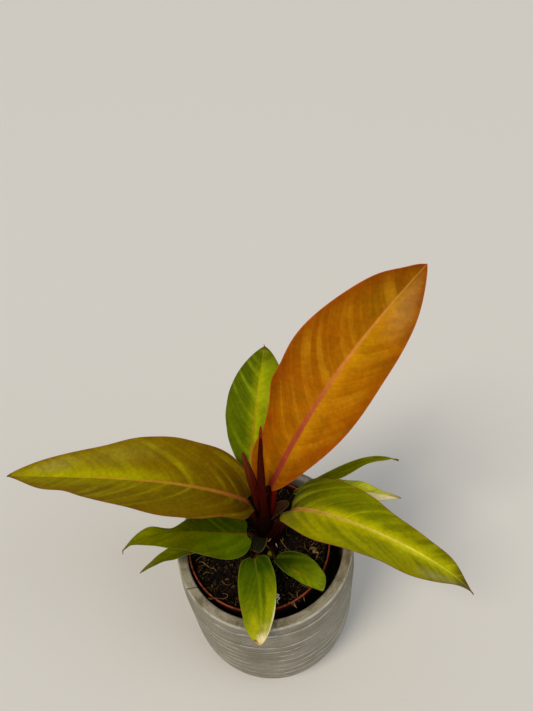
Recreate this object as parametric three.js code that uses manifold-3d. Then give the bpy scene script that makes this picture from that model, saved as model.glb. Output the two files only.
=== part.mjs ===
// A young self-heading philodendron in a plastic pot, which stands in a concrete cover pot.
// Millimetres, +Z up. The origin is the middle of the cover pot's underside.
// +X is the viewer's right and +Y points away from the viewer.
import * as THREE from 'three';
import { mergeVertices } from 'three/addons/utils/BufferGeometryUtils.js';
import Module from 'manifold-3d';

const wasm = await Module();
wasm.setup();

// Driving dimensions
const clearance = 0.3;
const coverPot = {
  height: 128,
  rimRadius: 71.8,
  boreRadius: 64,
  bellyRadius: 73.4,
  bellyHeight: 100,
  waistRadius: 72.5,
  waistHeight: 45,
  footRadius: 52,
  footRoundness: 2.2,
  floorThickness: 15,
  boreFootRadius: 50,
  boreChamfer: [[64, 40], [59, 22]],
  bandHeight: 11,
  shoulder: 8,
  edgeRadius: 1.6,
  firstRing: 98,
  ringCount: 8,
  ringPitch: 9.6,
  ringDepth: 0.6,
  ringWidth: 1.8,
  footHeights: [0.6, 2.5, 6, 11, 17, 24],
  sides: 40,
};
const innerPot = {
  centre: [-4.7, 2.0],
  top: 125,
  rimRadius: 58.5,
  rimHeight: 9,
  rimStep: 1.6,
  edge: 0.5,
  footEdge: 1.5,
  footRadius: 43,
  wall: 1.2,
  drainHoles: 6,
  drainRadius: 3.5,
  drainCircle: 28,
  sides: 40,
};
const soilTop = { height: 114.5, mound: 2, ripple: 0.9, rings: 7, sides: 36 };
const trunk = {
  centre: [2.5, 7],
  foot: 84,
  top: 152,
  radius: 8.2,
  neckRadius: 5.6,
  swell: 0.7,
  firstScar: 20,
  scarPitch: 7,
  scars: 6,
  sides: 14,
};
const bladeThickness = 0.9;
const ribHalfWidth = 0.14;
const leastHalfWidth = 0.6;
const stalkSides = 8;
const stalkSteps = 10;

// Each blade: its midrib as a curve from base to tip, the lean of its upper face about the
// midrib at base and tip in degrees, and for its left and right half the width and where the
// width swells (a low base power is a full shoulder, a low tip power a blunt tip).
const blades = [
  {
    name: 'blade_orange',
    colour: 0xb06a0a,
    midrib: [[10, 10, 187], [31, 17, 256], [75, 27, 316], [112, 26, 362]],
    roll: [30, 50],
    left: { width: 32, base: 0.65, tip: 0.7, wave: 4, phase: 0.1 },
    right: { width: 32, base: 0.85, tip: 0.85, wave: 1, phase: 0.95 },
    lobe: 6, waves: 2.2, fold: 8, rib: 1.8, rows: 20, halfColumns: 4,
    stalk: { root: [6, 8, 121], radius: [5.2, 3.4], bow: 0.02 },
  },
  {
    name: 'blade_left',
    colour: 0x7d6c08,
    midrib: [[-10, 10, 170], [-42, 13, 207], [-125, 27, 198], [-191, 31, 204]],
    roll: [-1, 19],
    left: { width: 34, base: 0.65, tip: 1.0, wave: 1.5, phase: 0.95 },
    right: { width: 41, base: 0.6, tip: 0.8, wave: 1.5, phase: 0.1 },
    lobe: 6, waves: 2.2, fold: 8, rib: 1.8, rows: 20, halfColumns: 4,
    stalk: { root: [-1, 8, 121], radius: [5.0, 2.8], bow: 0.1 },
  },
  {
    name: 'blade_right',
    colour: 0x8f9408,
    midrib: [[23, 9, 150], [39, -1, 176], [129, -40, 153], [150, -61, 130]],
    roll: [-5, -25],
    left: { width: 34, base: 0.5, tip: 1.15, wave: 1.5, phase: 0.5 },
    right: { width: 29, base: 0.75, tip: 0.95, wave: 2.5, phase: 0.2 },
    lobe: 6, waves: 2.2, fold: 8, rib: 1.8, rows: 20, halfColumns: 4,
    stalk: { root: [6, 5, 121], radius: [5.5, 3.8], bow: 0.2 },
  },
  {
    name: 'blade_tall_green',
    colour: 0x6d8208,
    midrib: [[-7, 40, 169], [1, 53, 202], [7, 68, 235], [16, 84, 263]],
    roll: [-1, 10],
    left: { width: 23, base: 0.8, tip: 0.75, wave: 0.5, phase: 0 },
    right: { width: 24.5, base: 0.7, tip: 0.65, wave: 0.5, phase: 0.75 },
    lobe: 5, waves: 1.5, fold: 12, rib: 1.4, rows: 16, halfColumns: 4,
    stalk: { root: [0, 12, 121], radius: [4.0, 2.1], bow: 0.15 },
  },
  {
    name: 'blade_lower_left',
    colour: 0x4c5e06,
    midrib: [[-14, 3, 133], [-36, -4, 146], [-81, 5, 165], [-116, 0, 132]],
    roll: [-15, 38],
    left: { width: 23, base: 0.6, tip: 1.1, wave: 1, phase: 0.35 },
    right: { width: 11.5, base: 0.55, tip: 0.8, wave: 4, phase: 0.45 },
    lobe: 4, waves: 2, fold: 6, rib: 1.2, rows: 18, halfColumns: 3,
    stalk: { root: [-2, 5, 121], radius: [3.2, 1.8], bow: 0.06 },
  },
  {
    name: 'blade_under_left',
    colour: 0x55680a,
    midrib: [[-27, -2, 129], [-52, -8, 140], [-77, -12, 144], [-101, -18, 127]],
    roll: [38, 35],
    left: { width: 9.5, base: 0.6, tip: 0.75, wave: 0.5, phase: 0.35 },
    right: { width: 15, base: 0.65, tip: 0.8, wave: 0.5, phase: 0.55 },
    lobe: 3, waves: 2.5, fold: 6, rib: 1.0, rows: 14, halfColumns: 3,
    stalk: { root: [-3, 4, 120], radius: [2.4, 1.4], bow: 0.05 },
  },
  {
    name: 'blade_front',
    colour: 0x6a8004,
    midrib: [[-9, -16, 127], [-7, -25, 132], [-6, -61, 141], [-8, -82, 131]],
    roll: [2, 3],
    left: { width: 14, base: 0.6, tip: 0.7, wave: 0.5, phase: 0.9 },
    right: { width: 15, base: 0.5, tip: 0.6, wave: 0, phase: 0.1 },
    lobe: 3, waves: 2.5, fold: 6, rib: 1.0, rows: 14, halfColumns: 3,
    stalk: { root: [1, 2, 120], radius: [2.3, 1.4], bow: 0.03 },
  },
  {
    name: 'blade_front_right',
    colour: 0x4f6402,
    midrib: [[8, -18, 126], [18, -26, 131], [34, -38, 136], [41, -49, 132]],
    roll: [-1, -4],
    left: { width: 13.5, base: 0.55, tip: 0.65, wave: 0, phase: 0.6 },
    right: { width: 7.5, base: 0.75, tip: 0.75, wave: 0.5, phase: 0.95 },
    lobe: 3, waves: 2.5, fold: 6, rib: 0.9, rows: 12, halfColumns: 3,
    stalk: { root: [4, 2, 120], radius: [2.2, 1.3], bow: 0.03 },
  },
  {
    name: 'blade_back_high',
    colour: 0x5f7004,
    midrib: [[31, 35, 139], [64, 37, 152], [99, 52, 164], [123, 54, 141]],
    roll: [-30, -40],
    left: { width: 8, base: 0.6, tip: 0.7, wave: 0, phase: 0.75 },
    right: { width: 15.5, base: 0.55, tip: 0.75, wave: 1, phase: 0.8 },
    lobe: 4, waves: 2.5, fold: 8, rib: 1.1, rows: 16, halfColumns: 3,
    stalk: { root: [7, 12, 121], radius: [3.0, 1.6], bow: 0.1 },
  },
  {
    name: 'blade_back_low',
    colour: 0x8c9a18,
    midrib: [[38, 29, 133], [65, 32, 152], [88, 24, 144], [118, 22, 133]],
    roll: [-12, -25],
    left: { width: 12, base: 0.55, tip: 0.9, wave: 1, phase: 0.65 },
    right: { width: 17, base: 0.6, tip: 0.8, wave: 1, phase: 0.95 },
    lobe: 4, waves: 2.5, fold: 8, rib: 1.1, rows: 16, halfColumns: 3,
    stalk: { root: [8, 8, 121], radius: [3.0, 1.6], bow: 0.03 },
  },
];

// Rolled leaves and sheaths: a curve from foot to tip, and the radius at foot, middle and tip
const furledLeaf = {
  path: [[3, 5, 132], [3, 5, 170], [3, 5.5, 205], [7, 6, 249]],
  radius: [3.4, 3.0, 0.7],
};
const leftSheath = {
  path: [[0, 11, 136], [-1, 11.5, 165], [-4, 11, 200], [-7, 10, 231]],
  radius: [3.0, 2.8, 1.6],
};

// Open sheaths are small blades without a rib: an olive one over the foot of the front
// stalks, and a dry brown one between the two right-hand stalks
const scales = [
  {
    name: 'sheath_front',
    colour: 0x4a4a12,
    midrib: [[-4, 3, 124], [-5, -1, 127], [-7, -5, 127], [-9, -9, 125]],
    roll: [0, 0],
    left: { width: 8, base: 0.4, tip: 0.4, wave: 0, phase: 0 },
    right: { width: 5, base: 0.4, tip: 0.4, wave: 0, phase: 0 },
    lobe: 0, waves: 1, fold: 24, rib: 0, rows: 10, halfColumns: 3,
  },
  {
    name: 'sheath_right',
    colour: 0x4e2a1e,
    midrib: [[9, 8, 136], [12, 7, 146], [16, 7, 154], [22, 8, 161]],
    roll: [10, 20],
    left: { width: 4.5, base: 0.4, tip: 0.5, wave: 0, phase: 0 },
    right: { width: 4, base: 0.4, tip: 0.5, wave: 0, phase: 0 },
    lobe: 0, waves: 1, fold: 28, rib: 0, rows: 10, halfColumns: 3,
  },
];
const bud = { place: [1.5, -7.5], radius: 2.3, height: 6.5 };

const up = new THREE.Vector3(0, 0, 1);

function point(values) {
  return new THREE.Vector3(...values);
}

function curve(points) {
  return new THREE.CubicBezierCurve3(...points.map(point));
}

// Solid booleans need merged vertices
function toSolid(geometry) {
  const bare = geometry.clone();
  bare.deleteAttribute('normal');
  bare.deleteAttribute('uv');
  const merged = mergeVertices(bare, 1e-4);
  return new wasm.Manifold(new wasm.Mesh({
    numProp: 3,
    vertProperties: new Float32Array(merged.attributes.position.array),
    triVerts: new Uint32Array(merged.index.array),
  }));
}

function toGeometry(solid) {
  const mesh = solid.getMesh();
  const geometry = new THREE.BufferGeometry();
  geometry.setAttribute('position', new THREE.BufferAttribute(mesh.vertProperties, 3));
  geometry.setIndex(new THREE.BufferAttribute(mesh.triVerts, 1));
  geometry.computeVertexNormals();
  return geometry;
}

function largestPiece(solid) {
  const pieces = solid.decompose();
  pieces.sort((a, b) => b.volume() - a.volume());
  return pieces[0];
}

// A lathe turns a profile of [radius, height] about +Z
function turned(profile, sides) {
  const outline = profile.map(([radius, height]) => new THREE.Vector2(radius, height));
  const geometry = new THREE.LatheGeometry(outline, sides);
  geometry.rotateX(Math.PI / 2);
  return geometry;
}

// Closed skin over rings of points: every ring has the same count, and the ends are fans
function skin(rings) {
  const count = rings[0].length;
  const positions = [];
  const index = [];
  const centreOf = (ring) => ring.reduce((sum, p) => sum.add(p), new THREE.Vector3()).divideScalar(count);
  rings.forEach((ring) => ring.forEach((p) => positions.push(p.x, p.y, p.z)));
  for (let i = 0; i + 1 < rings.length; i += 1) {
    for (let j = 0; j < count; j += 1) {
      const a = i * count + j;
      const b = i * count + ((j + 1) % count);
      index.push(a, b, b + count, a, b + count, a + count);
    }
  }
  const foot = centreOf(rings[0]);
  const head = centreOf(rings.at(-1));
  positions.push(foot.x, foot.y, foot.z, head.x, head.y, head.z);
  const footIndex = rings.length * count;
  const lastRing = (rings.length - 1) * count;
  for (let j = 0; j < count; j += 1) {
    const next = (j + 1) % count;
    index.push(footIndex, next, j);
    index.push(footIndex + 1, lastRing + j, lastRing + next);
  }
  const geometry = new THREE.BufferGeometry();
  geometry.setAttribute('position', new THREE.Float32BufferAttribute(positions, 3));
  geometry.setIndex(index);
  geometry.computeVertexNormals();
  return geometry;
}

// A round stalk along a path, its radius a function of the way along
function taperedTube(path, radiusAt, sides, steps) {
  const frames = path.computeFrenetFrames(steps, false);
  const rings = [];
  for (let i = 0; i <= steps; i += 1) {
    const centre = path.getPointAt(i / steps);
    const radius = radiusAt(i / steps);
    const ring = [];
    for (let j = 0; j < sides; j += 1) {
      const angle = (2 * Math.PI * j) / sides;
      ring.push(centre.clone()
        .addScaledVector(frames.normals[i], radius * Math.cos(angle))
        .addScaledVector(frames.binormals[i], radius * Math.sin(angle)));
    }
    rings.push(ring);
  }
  return skin(rings);
}

// Cover pot: foot curve, scored rings, rim band, rounded lip and a plain bore
function coverPotProfile() {
  const p = coverPot;
  const outside = (z) => {
    if (z < p.waistHeight) {
      const fall = (1 - z / p.waistHeight) ** p.footRoundness;
      return p.footRadius + (p.waistRadius - p.footRadius) * (1 - fall) ** (1 / p.footRoundness);
    }
    if (z < p.bellyHeight) {
      const rise = (z - p.waistHeight) / (p.bellyHeight - p.waistHeight);
      return p.waistRadius + (p.bellyRadius - p.waistRadius) * rise;
    }
    const shoulder = (z - p.bellyHeight) / (p.height - p.bandHeight - p.bellyHeight);
    return p.bellyRadius - (p.bellyRadius - p.rimRadius) * Math.min(shoulder, 1) ** 2;
  };
  const profile = [[0, 0], [p.footRadius, 0]];
  p.footHeights.forEach((z) => profile.push([outside(z), z]));
  for (let i = p.ringCount - 1; i >= 0; i -= 1) {
    const z = p.firstRing - i * p.ringPitch;
    profile.push([outside(z - p.ringWidth / 2), z - p.ringWidth / 2]);
    profile.push([outside(z) - p.ringDepth, z]);
    profile.push([outside(z + p.ringWidth / 2), z + p.ringWidth / 2]);
  }
  const bandFoot = p.height - p.bandHeight;
  profile.push([outside(bandFoot - p.shoulder), bandFoot - p.shoulder]);
  profile.push([p.rimRadius, bandFoot - p.ringWidth / 2]);
  profile.push([p.rimRadius - p.ringDepth, bandFoot]);
  profile.push([p.rimRadius, bandFoot + p.ringWidth / 2]);
  profile.push([p.rimRadius, p.height - p.edgeRadius]);
  profile.push([p.rimRadius - 0.3 * p.edgeRadius, p.height - 0.3 * p.edgeRadius]);
  profile.push([p.rimRadius - p.edgeRadius, p.height]);
  profile.push([p.boreRadius + p.edgeRadius, p.height]);
  profile.push([p.boreRadius + 0.3 * p.edgeRadius, p.height - 0.3 * p.edgeRadius]);
  profile.push([p.boreRadius, p.height - p.edgeRadius]);
  profile.push(...p.boreChamfer);
  profile.push([p.boreFootRadius, p.floorThickness]);
  profile.push([0, p.floorThickness]);
  return profile;
}

// Thin pot: rolled rim, step below it, tapering wall, and holes through the base
const innerFoot = coverPot.floorThickness + clearance;

function innerWall(z) {
  const p = innerPot;
  const rise = (z - innerFoot) / (p.top - p.rimHeight - innerFoot);
  return p.footRadius + (p.rimRadius - p.rimStep - p.footRadius) * Math.min(rise, 1);
}

function innerPotShape() {
  const p = innerPot;
  const step = p.top - p.rimHeight;
  const profile = [
    [0, innerFoot],
    [p.footRadius - p.footEdge, innerFoot],
    [innerWall(innerFoot + p.footEdge), innerFoot + p.footEdge],
    [innerWall(step), step],
    [p.rimRadius, step + p.edge],
    [p.rimRadius, p.top - p.edge],
    [p.rimRadius - p.edge, p.top],
    [p.rimRadius - p.wall, p.top],
    [p.rimRadius - p.wall, step + p.edge + p.wall],
    [innerWall(step) - p.wall, step],
    [innerWall(innerFoot + p.wall) - p.wall, innerFoot + p.wall],
    [0, innerFoot + p.wall],
  ];
  let solid = toSolid(turned(profile, p.sides));
  for (let i = 0; i < p.drainHoles; i += 1) {
    const angle = (2 * Math.PI * i) / p.drainHoles;
    const hole = turned([
      [0, innerFoot - 1],
      [p.drainRadius, innerFoot - 1],
      [p.drainRadius, innerFoot + p.wall + 1],
      [0, innerFoot + p.wall + 1],
    ], 10);
    hole.translate(p.drainCircle * Math.cos(angle), p.drainCircle * Math.sin(angle), 0);
    solid = solid.subtract(toSolid(hole));
  }
  return toGeometry(solid).translate(p.centre[0], p.centre[1], 0);
}

// Soil: fills the thin pot, its top mounded and rippled by a formula
function soilHeight(x, y) {
  const fromTrunk = Math.hypot(x - trunk.centre[0], y - trunk.centre[1]);
  const mound = soilTop.mound * Math.exp(-((fromTrunk / 22) ** 2));
  const ripple = Math.sin(x * 0.21 + 1.3) * Math.cos(y * 0.24 - 0.6) + 0.5 * Math.sin(x * 0.11 - y * 0.37);
  return soilTop.height + mound + soilTop.ripple * ripple;
}

function soilShape() {
  const [cx, cy] = innerPot.centre;
  const edge = (z) => Math.min(innerWall(z), innerPot.rimRadius - innerPot.rimStep)
    - innerPot.wall - clearance;
  const foot = innerFoot + innerPot.wall + clearance;
  const circle = (radius, z) => {
    const ring = [];
    for (let j = 0; j < soilTop.sides; j += 1) {
      const angle = (2 * Math.PI * j) / soilTop.sides;
      const x = cx + radius * Math.cos(angle);
      const y = cy + radius * Math.sin(angle);
      ring.push(new THREE.Vector3(x, y, z ?? soilHeight(x, y)));
    }
    return ring;
  };
  const rings = [circle(edge(foot) / 2, foot), circle(edge(foot) - 0.5, foot)];
  rings.push(circle(edge(innerFoot + 40) - 0.3, innerFoot + 40));
  for (let i = soilTop.rings; i > 0; i -= 1) {
    rings.push(circle((edge(soilTop.height - 4) * i) / soilTop.rings));
  }
  const hole = turned([
    [0, trunk.foot - clearance],
    [trunk.radius + clearance, trunk.foot - clearance],
    [trunk.radius + clearance, coverPot.height],
    [0, coverPot.height],
  ], trunk.sides);
  hole.translate(trunk.centre[0], trunk.centre[1], 0);
  return toSolid(skin(rings)).subtract(toSolid(hole));
}

// Frame of a blade at u: midrib point, direction, upper face and the way to its right
function bladeFrame(blade, u) {
  const midrib = curve(blade.midrib);
  const centre = midrib.getPoint(u);
  const along = midrib.getTangent(u);
  const heading = point(blade.midrib[3]).sub(point(blade.midrib[0])).setZ(0).normalize();
  const level = new THREE.Vector3().crossVectors(heading, up);
  const face = new THREE.Vector3().crossVectors(level, along).normalize();
  const across = new THREE.Vector3().crossVectors(along, face);
  const roll = THREE.MathUtils.degToRad(THREE.MathUtils.lerp(blade.roll[0], blade.roll[1], u));
  const leaned = face.clone().multiplyScalar(Math.cos(roll)).addScaledVector(across, Math.sin(roll));
  const sideways = across.clone().multiplyScalar(Math.cos(roll)).addScaledVector(face, -Math.sin(roll));
  return { centre, along, face: leaned, across: sideways };
}

// Half width at u: zero at the tip, a rounded shoulder at the base, full width between them
function halfWidth(half, u) {
  const shoulderStart = 0.02;
  const x = (u + shoulderStart) / (1 + shoulderStart);
  const widest = half.base / (half.base + half.tip);
  const peak = widest ** half.base * (1 - widest) ** half.tip;
  return Math.max((half.width * x ** half.base * (1 - x) ** half.tip) / peak, leastHalfWidth);
}

// Point of the upper face: s runs from -1 at the left margin to 1 at the right one
function bladePoint(blade, frame, u, s) {
  const half = s > 0 ? blade.right : blade.left;
  const reach = halfWidth(half, u);
  const back = blade.lobe * Math.abs(s) ** 1.6 * (1 - u) ** 8;
  const trough = reach * Math.abs(s) * Math.tan(THREE.MathUtils.degToRad(blade.fold));
  const swell = half.wave * Math.sin(2 * Math.PI * (blade.waves * u + half.phase));
  const lift = trough + swell * s * s * Math.sqrt(Math.max(Math.sin(Math.PI * u), 0));
  return frame.centre.clone()
    .addScaledVector(frame.across, s * reach)
    .addScaledVector(frame.along, -back)
    .addScaledVector(frame.face, lift);
}

// Closed blade: upper and lower face are cut into triangles alike, with a rib under the middle
function bladeShape(blade) {
  const stations = [0];
  for (let j = 1; j <= blade.halfColumns; j += 1) {
    stations.push(ribHalfWidth + ((1 - ribHalfWidth) * (j - 1)) / (blade.halfColumns - 1));
  }
  const columns = [...stations.slice(1).reverse().map((s) => -s), ...stations];
  const width = columns.length;
  const positions = [];
  const index = [];
  const rows = blade.rows;
  for (let i = 0; i <= rows; i += 1) {
    const u = i / rows;
    const frame = bladeFrame(blade, u);
    const ribDepth = blade.rib * (1 - 0.8 * u);
    for (const under of [0, 1]) {
      for (const s of columns) {
        const depth = under * (bladeThickness + (s === 0 ? ribDepth : 0));
        const p = bladePoint(blade, frame, u, s).addScaledVector(frame.face, -depth);
        positions.push(p.x, p.y, p.z);
      }
    }
  }
  const at = (i, under, j) => (i * 2 + under) * width + j;
  const quad = (a, b, c, d) => index.push(a, b, c, a, c, d);
  for (let i = 0; i < rows; i += 1) {
    for (let j = 0; j + 1 < width; j += 1) {
      const [a, b, c, d] = [at(i, 0, j), at(i, 0, j + 1), at(i + 1, 0, j + 1), at(i + 1, 0, j)];
      quad(a, b, c, d);
      index.push(a + width, c + width, b + width, a + width, d + width, c + width);
    }
    quad(at(i, 1, 0), at(i, 0, 0), at(i + 1, 0, 0), at(i + 1, 1, 0));
    quad(at(i, 0, width - 1), at(i, 1, width - 1), at(i + 1, 1, width - 1), at(i + 1, 0, width - 1));
  }
  for (let j = 0; j + 1 < width; j += 1) {
    quad(at(0, 0, j + 1), at(0, 0, j), at(0, 1, j), at(0, 1, j + 1));
    quad(at(rows, 0, j), at(rows, 0, j + 1), at(rows, 1, j + 1), at(rows, 1, j));
  }
  const geometry = new THREE.BufferGeometry();
  geometry.setAttribute('position', new THREE.Float32BufferAttribute(positions, 3));
  geometry.setIndex(index);
  geometry.computeVertexNormals();
  return geometry;
}

// Stalk: rises from the trunk and ends under the base of its blade, just clear of it
function stalkShape(blade, extra) {
  const [footRadius, headRadius] = blade.stalk.radius;
  const frame = bladeFrame(blade, 0);
  const drop = bladeThickness + blade.rib + headRadius + 2 * clearance;
  const head = frame.centre.clone().addScaledVector(frame.face, -drop).addScaledVector(frame.along, 2);
  const root = point(blade.stalk.root);
  const bow = root.distanceTo(head) * blade.stalk.bow;
  const path = new THREE.CubicBezierCurve3(
    root,
    root.clone().lerp(head, 0.33).addScaledVector(up, bow),
    root.clone().lerp(head, 0.67).addScaledVector(up, bow * 0.6),
    head,
  );
  const radiusAt = (t) => THREE.MathUtils.lerp(footRadius, headRadius, t ** 0.7) + extra;
  return toSolid(taperedTube(path, radiusAt, stalkSides, stalkSteps));
}

// The trunk and all the stalks are one grown body
function stemShape(extra) {
  const t = trunk;
  const profile = [[0, t.foot], [t.radius * 0.6 + extra, t.foot], [t.radius - 0.8 + extra, t.foot + 6]];
  for (let i = 0; i < t.scars; i += 1) {
    const z = t.foot + t.firstScar + i * t.scarPitch;
    const radius = THREE.MathUtils.lerp(t.radius - t.swell, t.neckRadius, i / t.scars);
    profile.push([radius + extra, z]);
    profile.push([radius + t.swell + extra, z + 2]);
  }
  profile.push([t.neckRadius * 0.6 + extra, t.top]);
  profile.push([0, t.top + extra]);
  const lathe = turned(profile, t.sides).translate(t.centre[0], t.centre[1], 0);
  let solid = toSolid(lathe);
  for (const blade of blades) {
    solid = solid.add(stalkShape(blade, extra));
  }
  return solid;
}

// A rolled leaf: a round spear that swells a little and closes at the tip
function rolledShape(rolled) {
  const [foot, middle, tip] = rolled.radius;
  const radiusAt = (t) => {
    const body = THREE.MathUtils.lerp(foot, middle, Math.min(t * 1.6, 1));
    return t < 0.62 ? body : THREE.MathUtils.lerp(body, tip, ((t - 0.62) / 0.38) ** 1.3);
  };
  return toSolid(taperedTube(curve(rolled.path), radiusAt, 10, 14));
}

// Bud: a small upright cone with a round shoulder, its foot just clear of the soil
function budShape() {
  const [x, y] = bud.place;
  const foot = soilHeight(x, y) + 3 * clearance;
  const profile = [
    [0, foot],
    [bud.radius * 0.7, foot],
    [bud.radius, foot + bud.height * 0.35],
    [bud.radius * 0.7, foot + bud.height * 0.75],
    [bud.radius * 0.2, foot + bud.height],
    [0, foot + bud.height],
  ];
  return turned(profile, 10).translate(x, y, 0);
}

const root = new THREE.Group();

function addPart(name, geometry, colour, roughness) {
  const material = new THREE.MeshStandardMaterial({ color: colour, roughness, metalness: 0 });
  const mesh = new THREE.Mesh(geometry, material);
  mesh.name = name;
  root.add(mesh);
}

const stemRoom = stemShape(clearance);

function beside(solid) {
  return largestPiece(solid.subtract(stemRoom));
}

addPart('outer_pot', turned(coverPotProfile(), coverPot.sides), 0x99948a, 0.9);
addPart('nursery_pot', innerPotShape(), 0xa04a1e, 0.5);
addPart('soil', toGeometry(largestPiece(soilShape())), 0x1b1510, 1.0);
addPart('stem', toGeometry(stemShape(0)), 0x4a0f0c, 0.45);
for (const blade of blades) {
  addPart(blade.name, bladeShape(blade), blade.colour, 0.4);
}
addPart('furled_leaf', toGeometry(beside(rolledShape(furledLeaf))), 0x3a0a08, 0.45);
addPart('sheath_left', toGeometry(beside(rolledShape(leftSheath))), 0x5a2018, 0.55);
for (const scale of scales) {
  addPart(scale.name, toGeometry(beside(toSolid(bladeShape(scale)))), scale.colour, 0.6);
}
addPart('bud', budShape(), 0x6a6a14, 0.5);

export default root;
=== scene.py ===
import math
import bpy
import numpy as np
from mathutils import Matrix, Vector


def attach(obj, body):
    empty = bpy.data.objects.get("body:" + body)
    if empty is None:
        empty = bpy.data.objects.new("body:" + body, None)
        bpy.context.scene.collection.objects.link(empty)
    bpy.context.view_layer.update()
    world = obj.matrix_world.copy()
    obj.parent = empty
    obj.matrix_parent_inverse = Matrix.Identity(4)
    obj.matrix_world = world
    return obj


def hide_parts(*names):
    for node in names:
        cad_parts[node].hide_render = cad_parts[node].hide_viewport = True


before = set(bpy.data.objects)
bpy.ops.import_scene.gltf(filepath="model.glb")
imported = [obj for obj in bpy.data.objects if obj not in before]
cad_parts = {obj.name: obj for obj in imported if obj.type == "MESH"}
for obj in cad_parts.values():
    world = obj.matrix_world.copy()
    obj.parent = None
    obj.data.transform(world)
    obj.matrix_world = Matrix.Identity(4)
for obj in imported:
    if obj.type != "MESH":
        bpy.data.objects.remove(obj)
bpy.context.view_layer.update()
mm = 0.001
scene = bpy.context.scene
print("frame loaded:", len(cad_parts), "solids")


# Helpers

def linear(hexColour):
    channels = [int(hexColour[i:i + 2], 16) / 255 for i in (0, 2, 4)]
    curved = [c / 12.92 if c <= 0.04045 else ((c + 0.055) / 1.055) ** 2.4 for c in channels]
    return (*curved, 1.0)


# Scale of a pattern whose marks are this many mm apart, or as many along x, y and z
def patternScale(size):
    return tuple(map(patternScale, size)) if isinstance(size, tuple) else 1 / (size * mm)


# Adds a node, sets its properties and colour stops, and links or sets its inputs
def addNode(tree, kind, inputs=None, stops=None, **settings):
    node = tree.nodes.new(kind)
    for name, value in settings.items():
        setattr(node, name, value)
    if stops:
        elements = node.color_ramp.elements
        while len(elements) > 1:
            elements.remove(elements[-1])
        elements[0].position = stops[0][0]
        elements[0].color = linear(stops[0][1])
        for place, hexColour in stops[1:]:
            elements.new(place).color = linear(hexColour)
    for key, value in (inputs or {}).items():
        byName = [s for s in node.inputs if s.name == key and s.enabled]
        socket = node.inputs[key] if isinstance(key, int) else byName[0]
        if isinstance(value, bpy.types.Node):
            value = [s for s in value.outputs if s.enabled][0]
        if isinstance(value, bpy.types.NodeSocket):
            tree.links.new(value, socket)
        else:
            socket.default_value = value
    return node


def newMaterial(name):
    material = bpy.data.materials.new(name)
    material.use_nodes = True
    material.node_tree.nodes.clear()
    return material, material.node_tree


# Mesh from points in mm, with number attributes for its material to read
def makePiece(name, points, faces, material, replaces=(), numbers=None, sharpAngle=40):
    mesh = bpy.data.meshes.new(name)
    mesh.from_pydata((np.asarray(points, float) * mm).tolist(), [], faces)
    for key, values in (numbers or {}).items():
        values = np.asarray(values, np.float32)
        if values.ndim == 2:
            mesh.attributes.new(key, "FLOAT_VECTOR", "POINT").data.foreach_set("vector", values.ravel())
        else:
            mesh.attributes.new(key, "FLOAT", "POINT").data.foreach_set("value", values.ravel())
    mesh.materials.append(material)
    mesh.shade_smooth()
    mesh.set_sharp_from_angle(angle=math.radians(sharpAngle))
    piece = bpy.data.objects.new(name, mesh)
    scene.collection.objects.link(piece)
    return finishPiece(piece, replaces)


def finishPiece(piece, replaces=()):
    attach(piece, "root")
    if replaces:
        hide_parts(*replaces)
    return piece


# Bump, shader and output, with which every material on the object ends. Its finish has the bump's
# strength and depth in mm, the IOR and the gloss.
def addSurface(tree, finish, colour, roughness, height):
    strength, depth = finish["bump"]
    relief = addNode(tree, "ShaderNodeBump", {"Height": height, "Strength": strength, "Distance": depth * mm})
    shader = addNode(tree, "ShaderNodeBsdfPrincipled", {
        "Base Color": colour, "Roughness": roughness, "Normal": relief,
        "IOR": finish["ior"], "Specular IOR Level": finish["gloss"]})
    addNode(tree, "ShaderNodeOutputMaterial", {"Surface": shader})


# Camera at the photo's height and tilt: about 42 degrees down, rolled a little
cameraView = {
    "place": (0.016776, -0.226105, 0.531555),
    "right": (0.99495, -0.06702, -0.07470),
    "up": (0.10036, 0.66446, 0.74055),
    "forward": (0.0, 0.74431, -0.66783),
    "lens": 27.04,
    "sensorWidth": 36,
    "nearest": 0.01,
}
cameraData = bpy.data.cameras.new("camera")
cameraData.lens = cameraView["lens"]
cameraData.sensor_width = cameraView["sensorWidth"]
cameraData.clip_start = cameraView["nearest"]
camera = bpy.data.objects.new("camera", cameraData)
scene.collection.objects.link(camera)
backward = [-v for v in cameraView["forward"]]
axes = Matrix([cameraView["right"], cameraView["up"], backward]).transposed()
camera.matrix_world = Matrix.Translation(cameraView["place"]) @ axes.to_4x4()
scene.camera = camera
scene.view_settings.view_transform = "Standard"


# Pale floor, wide enough to fill every view, and soft lights
studio = {
    "floor": "dedcd6",
    "floorClouds": "d8d6d0",
    "floorRadius": 9,
    "floorSides": 64,
    "sky": "eef0f2",
    "skyStrength": 0.42,
    "lamps": [
        {"name": "key", "from": (-0.55, -0.50, 1.0), "spread": 24, "strength": 1.6, "colour": "fff3e2"},
        {"name": "fill", "from": (0.95, -0.45, 0.75), "spread": 45, "strength": 0.7, "colour": "f2f5ff"},
    ],
}


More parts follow.
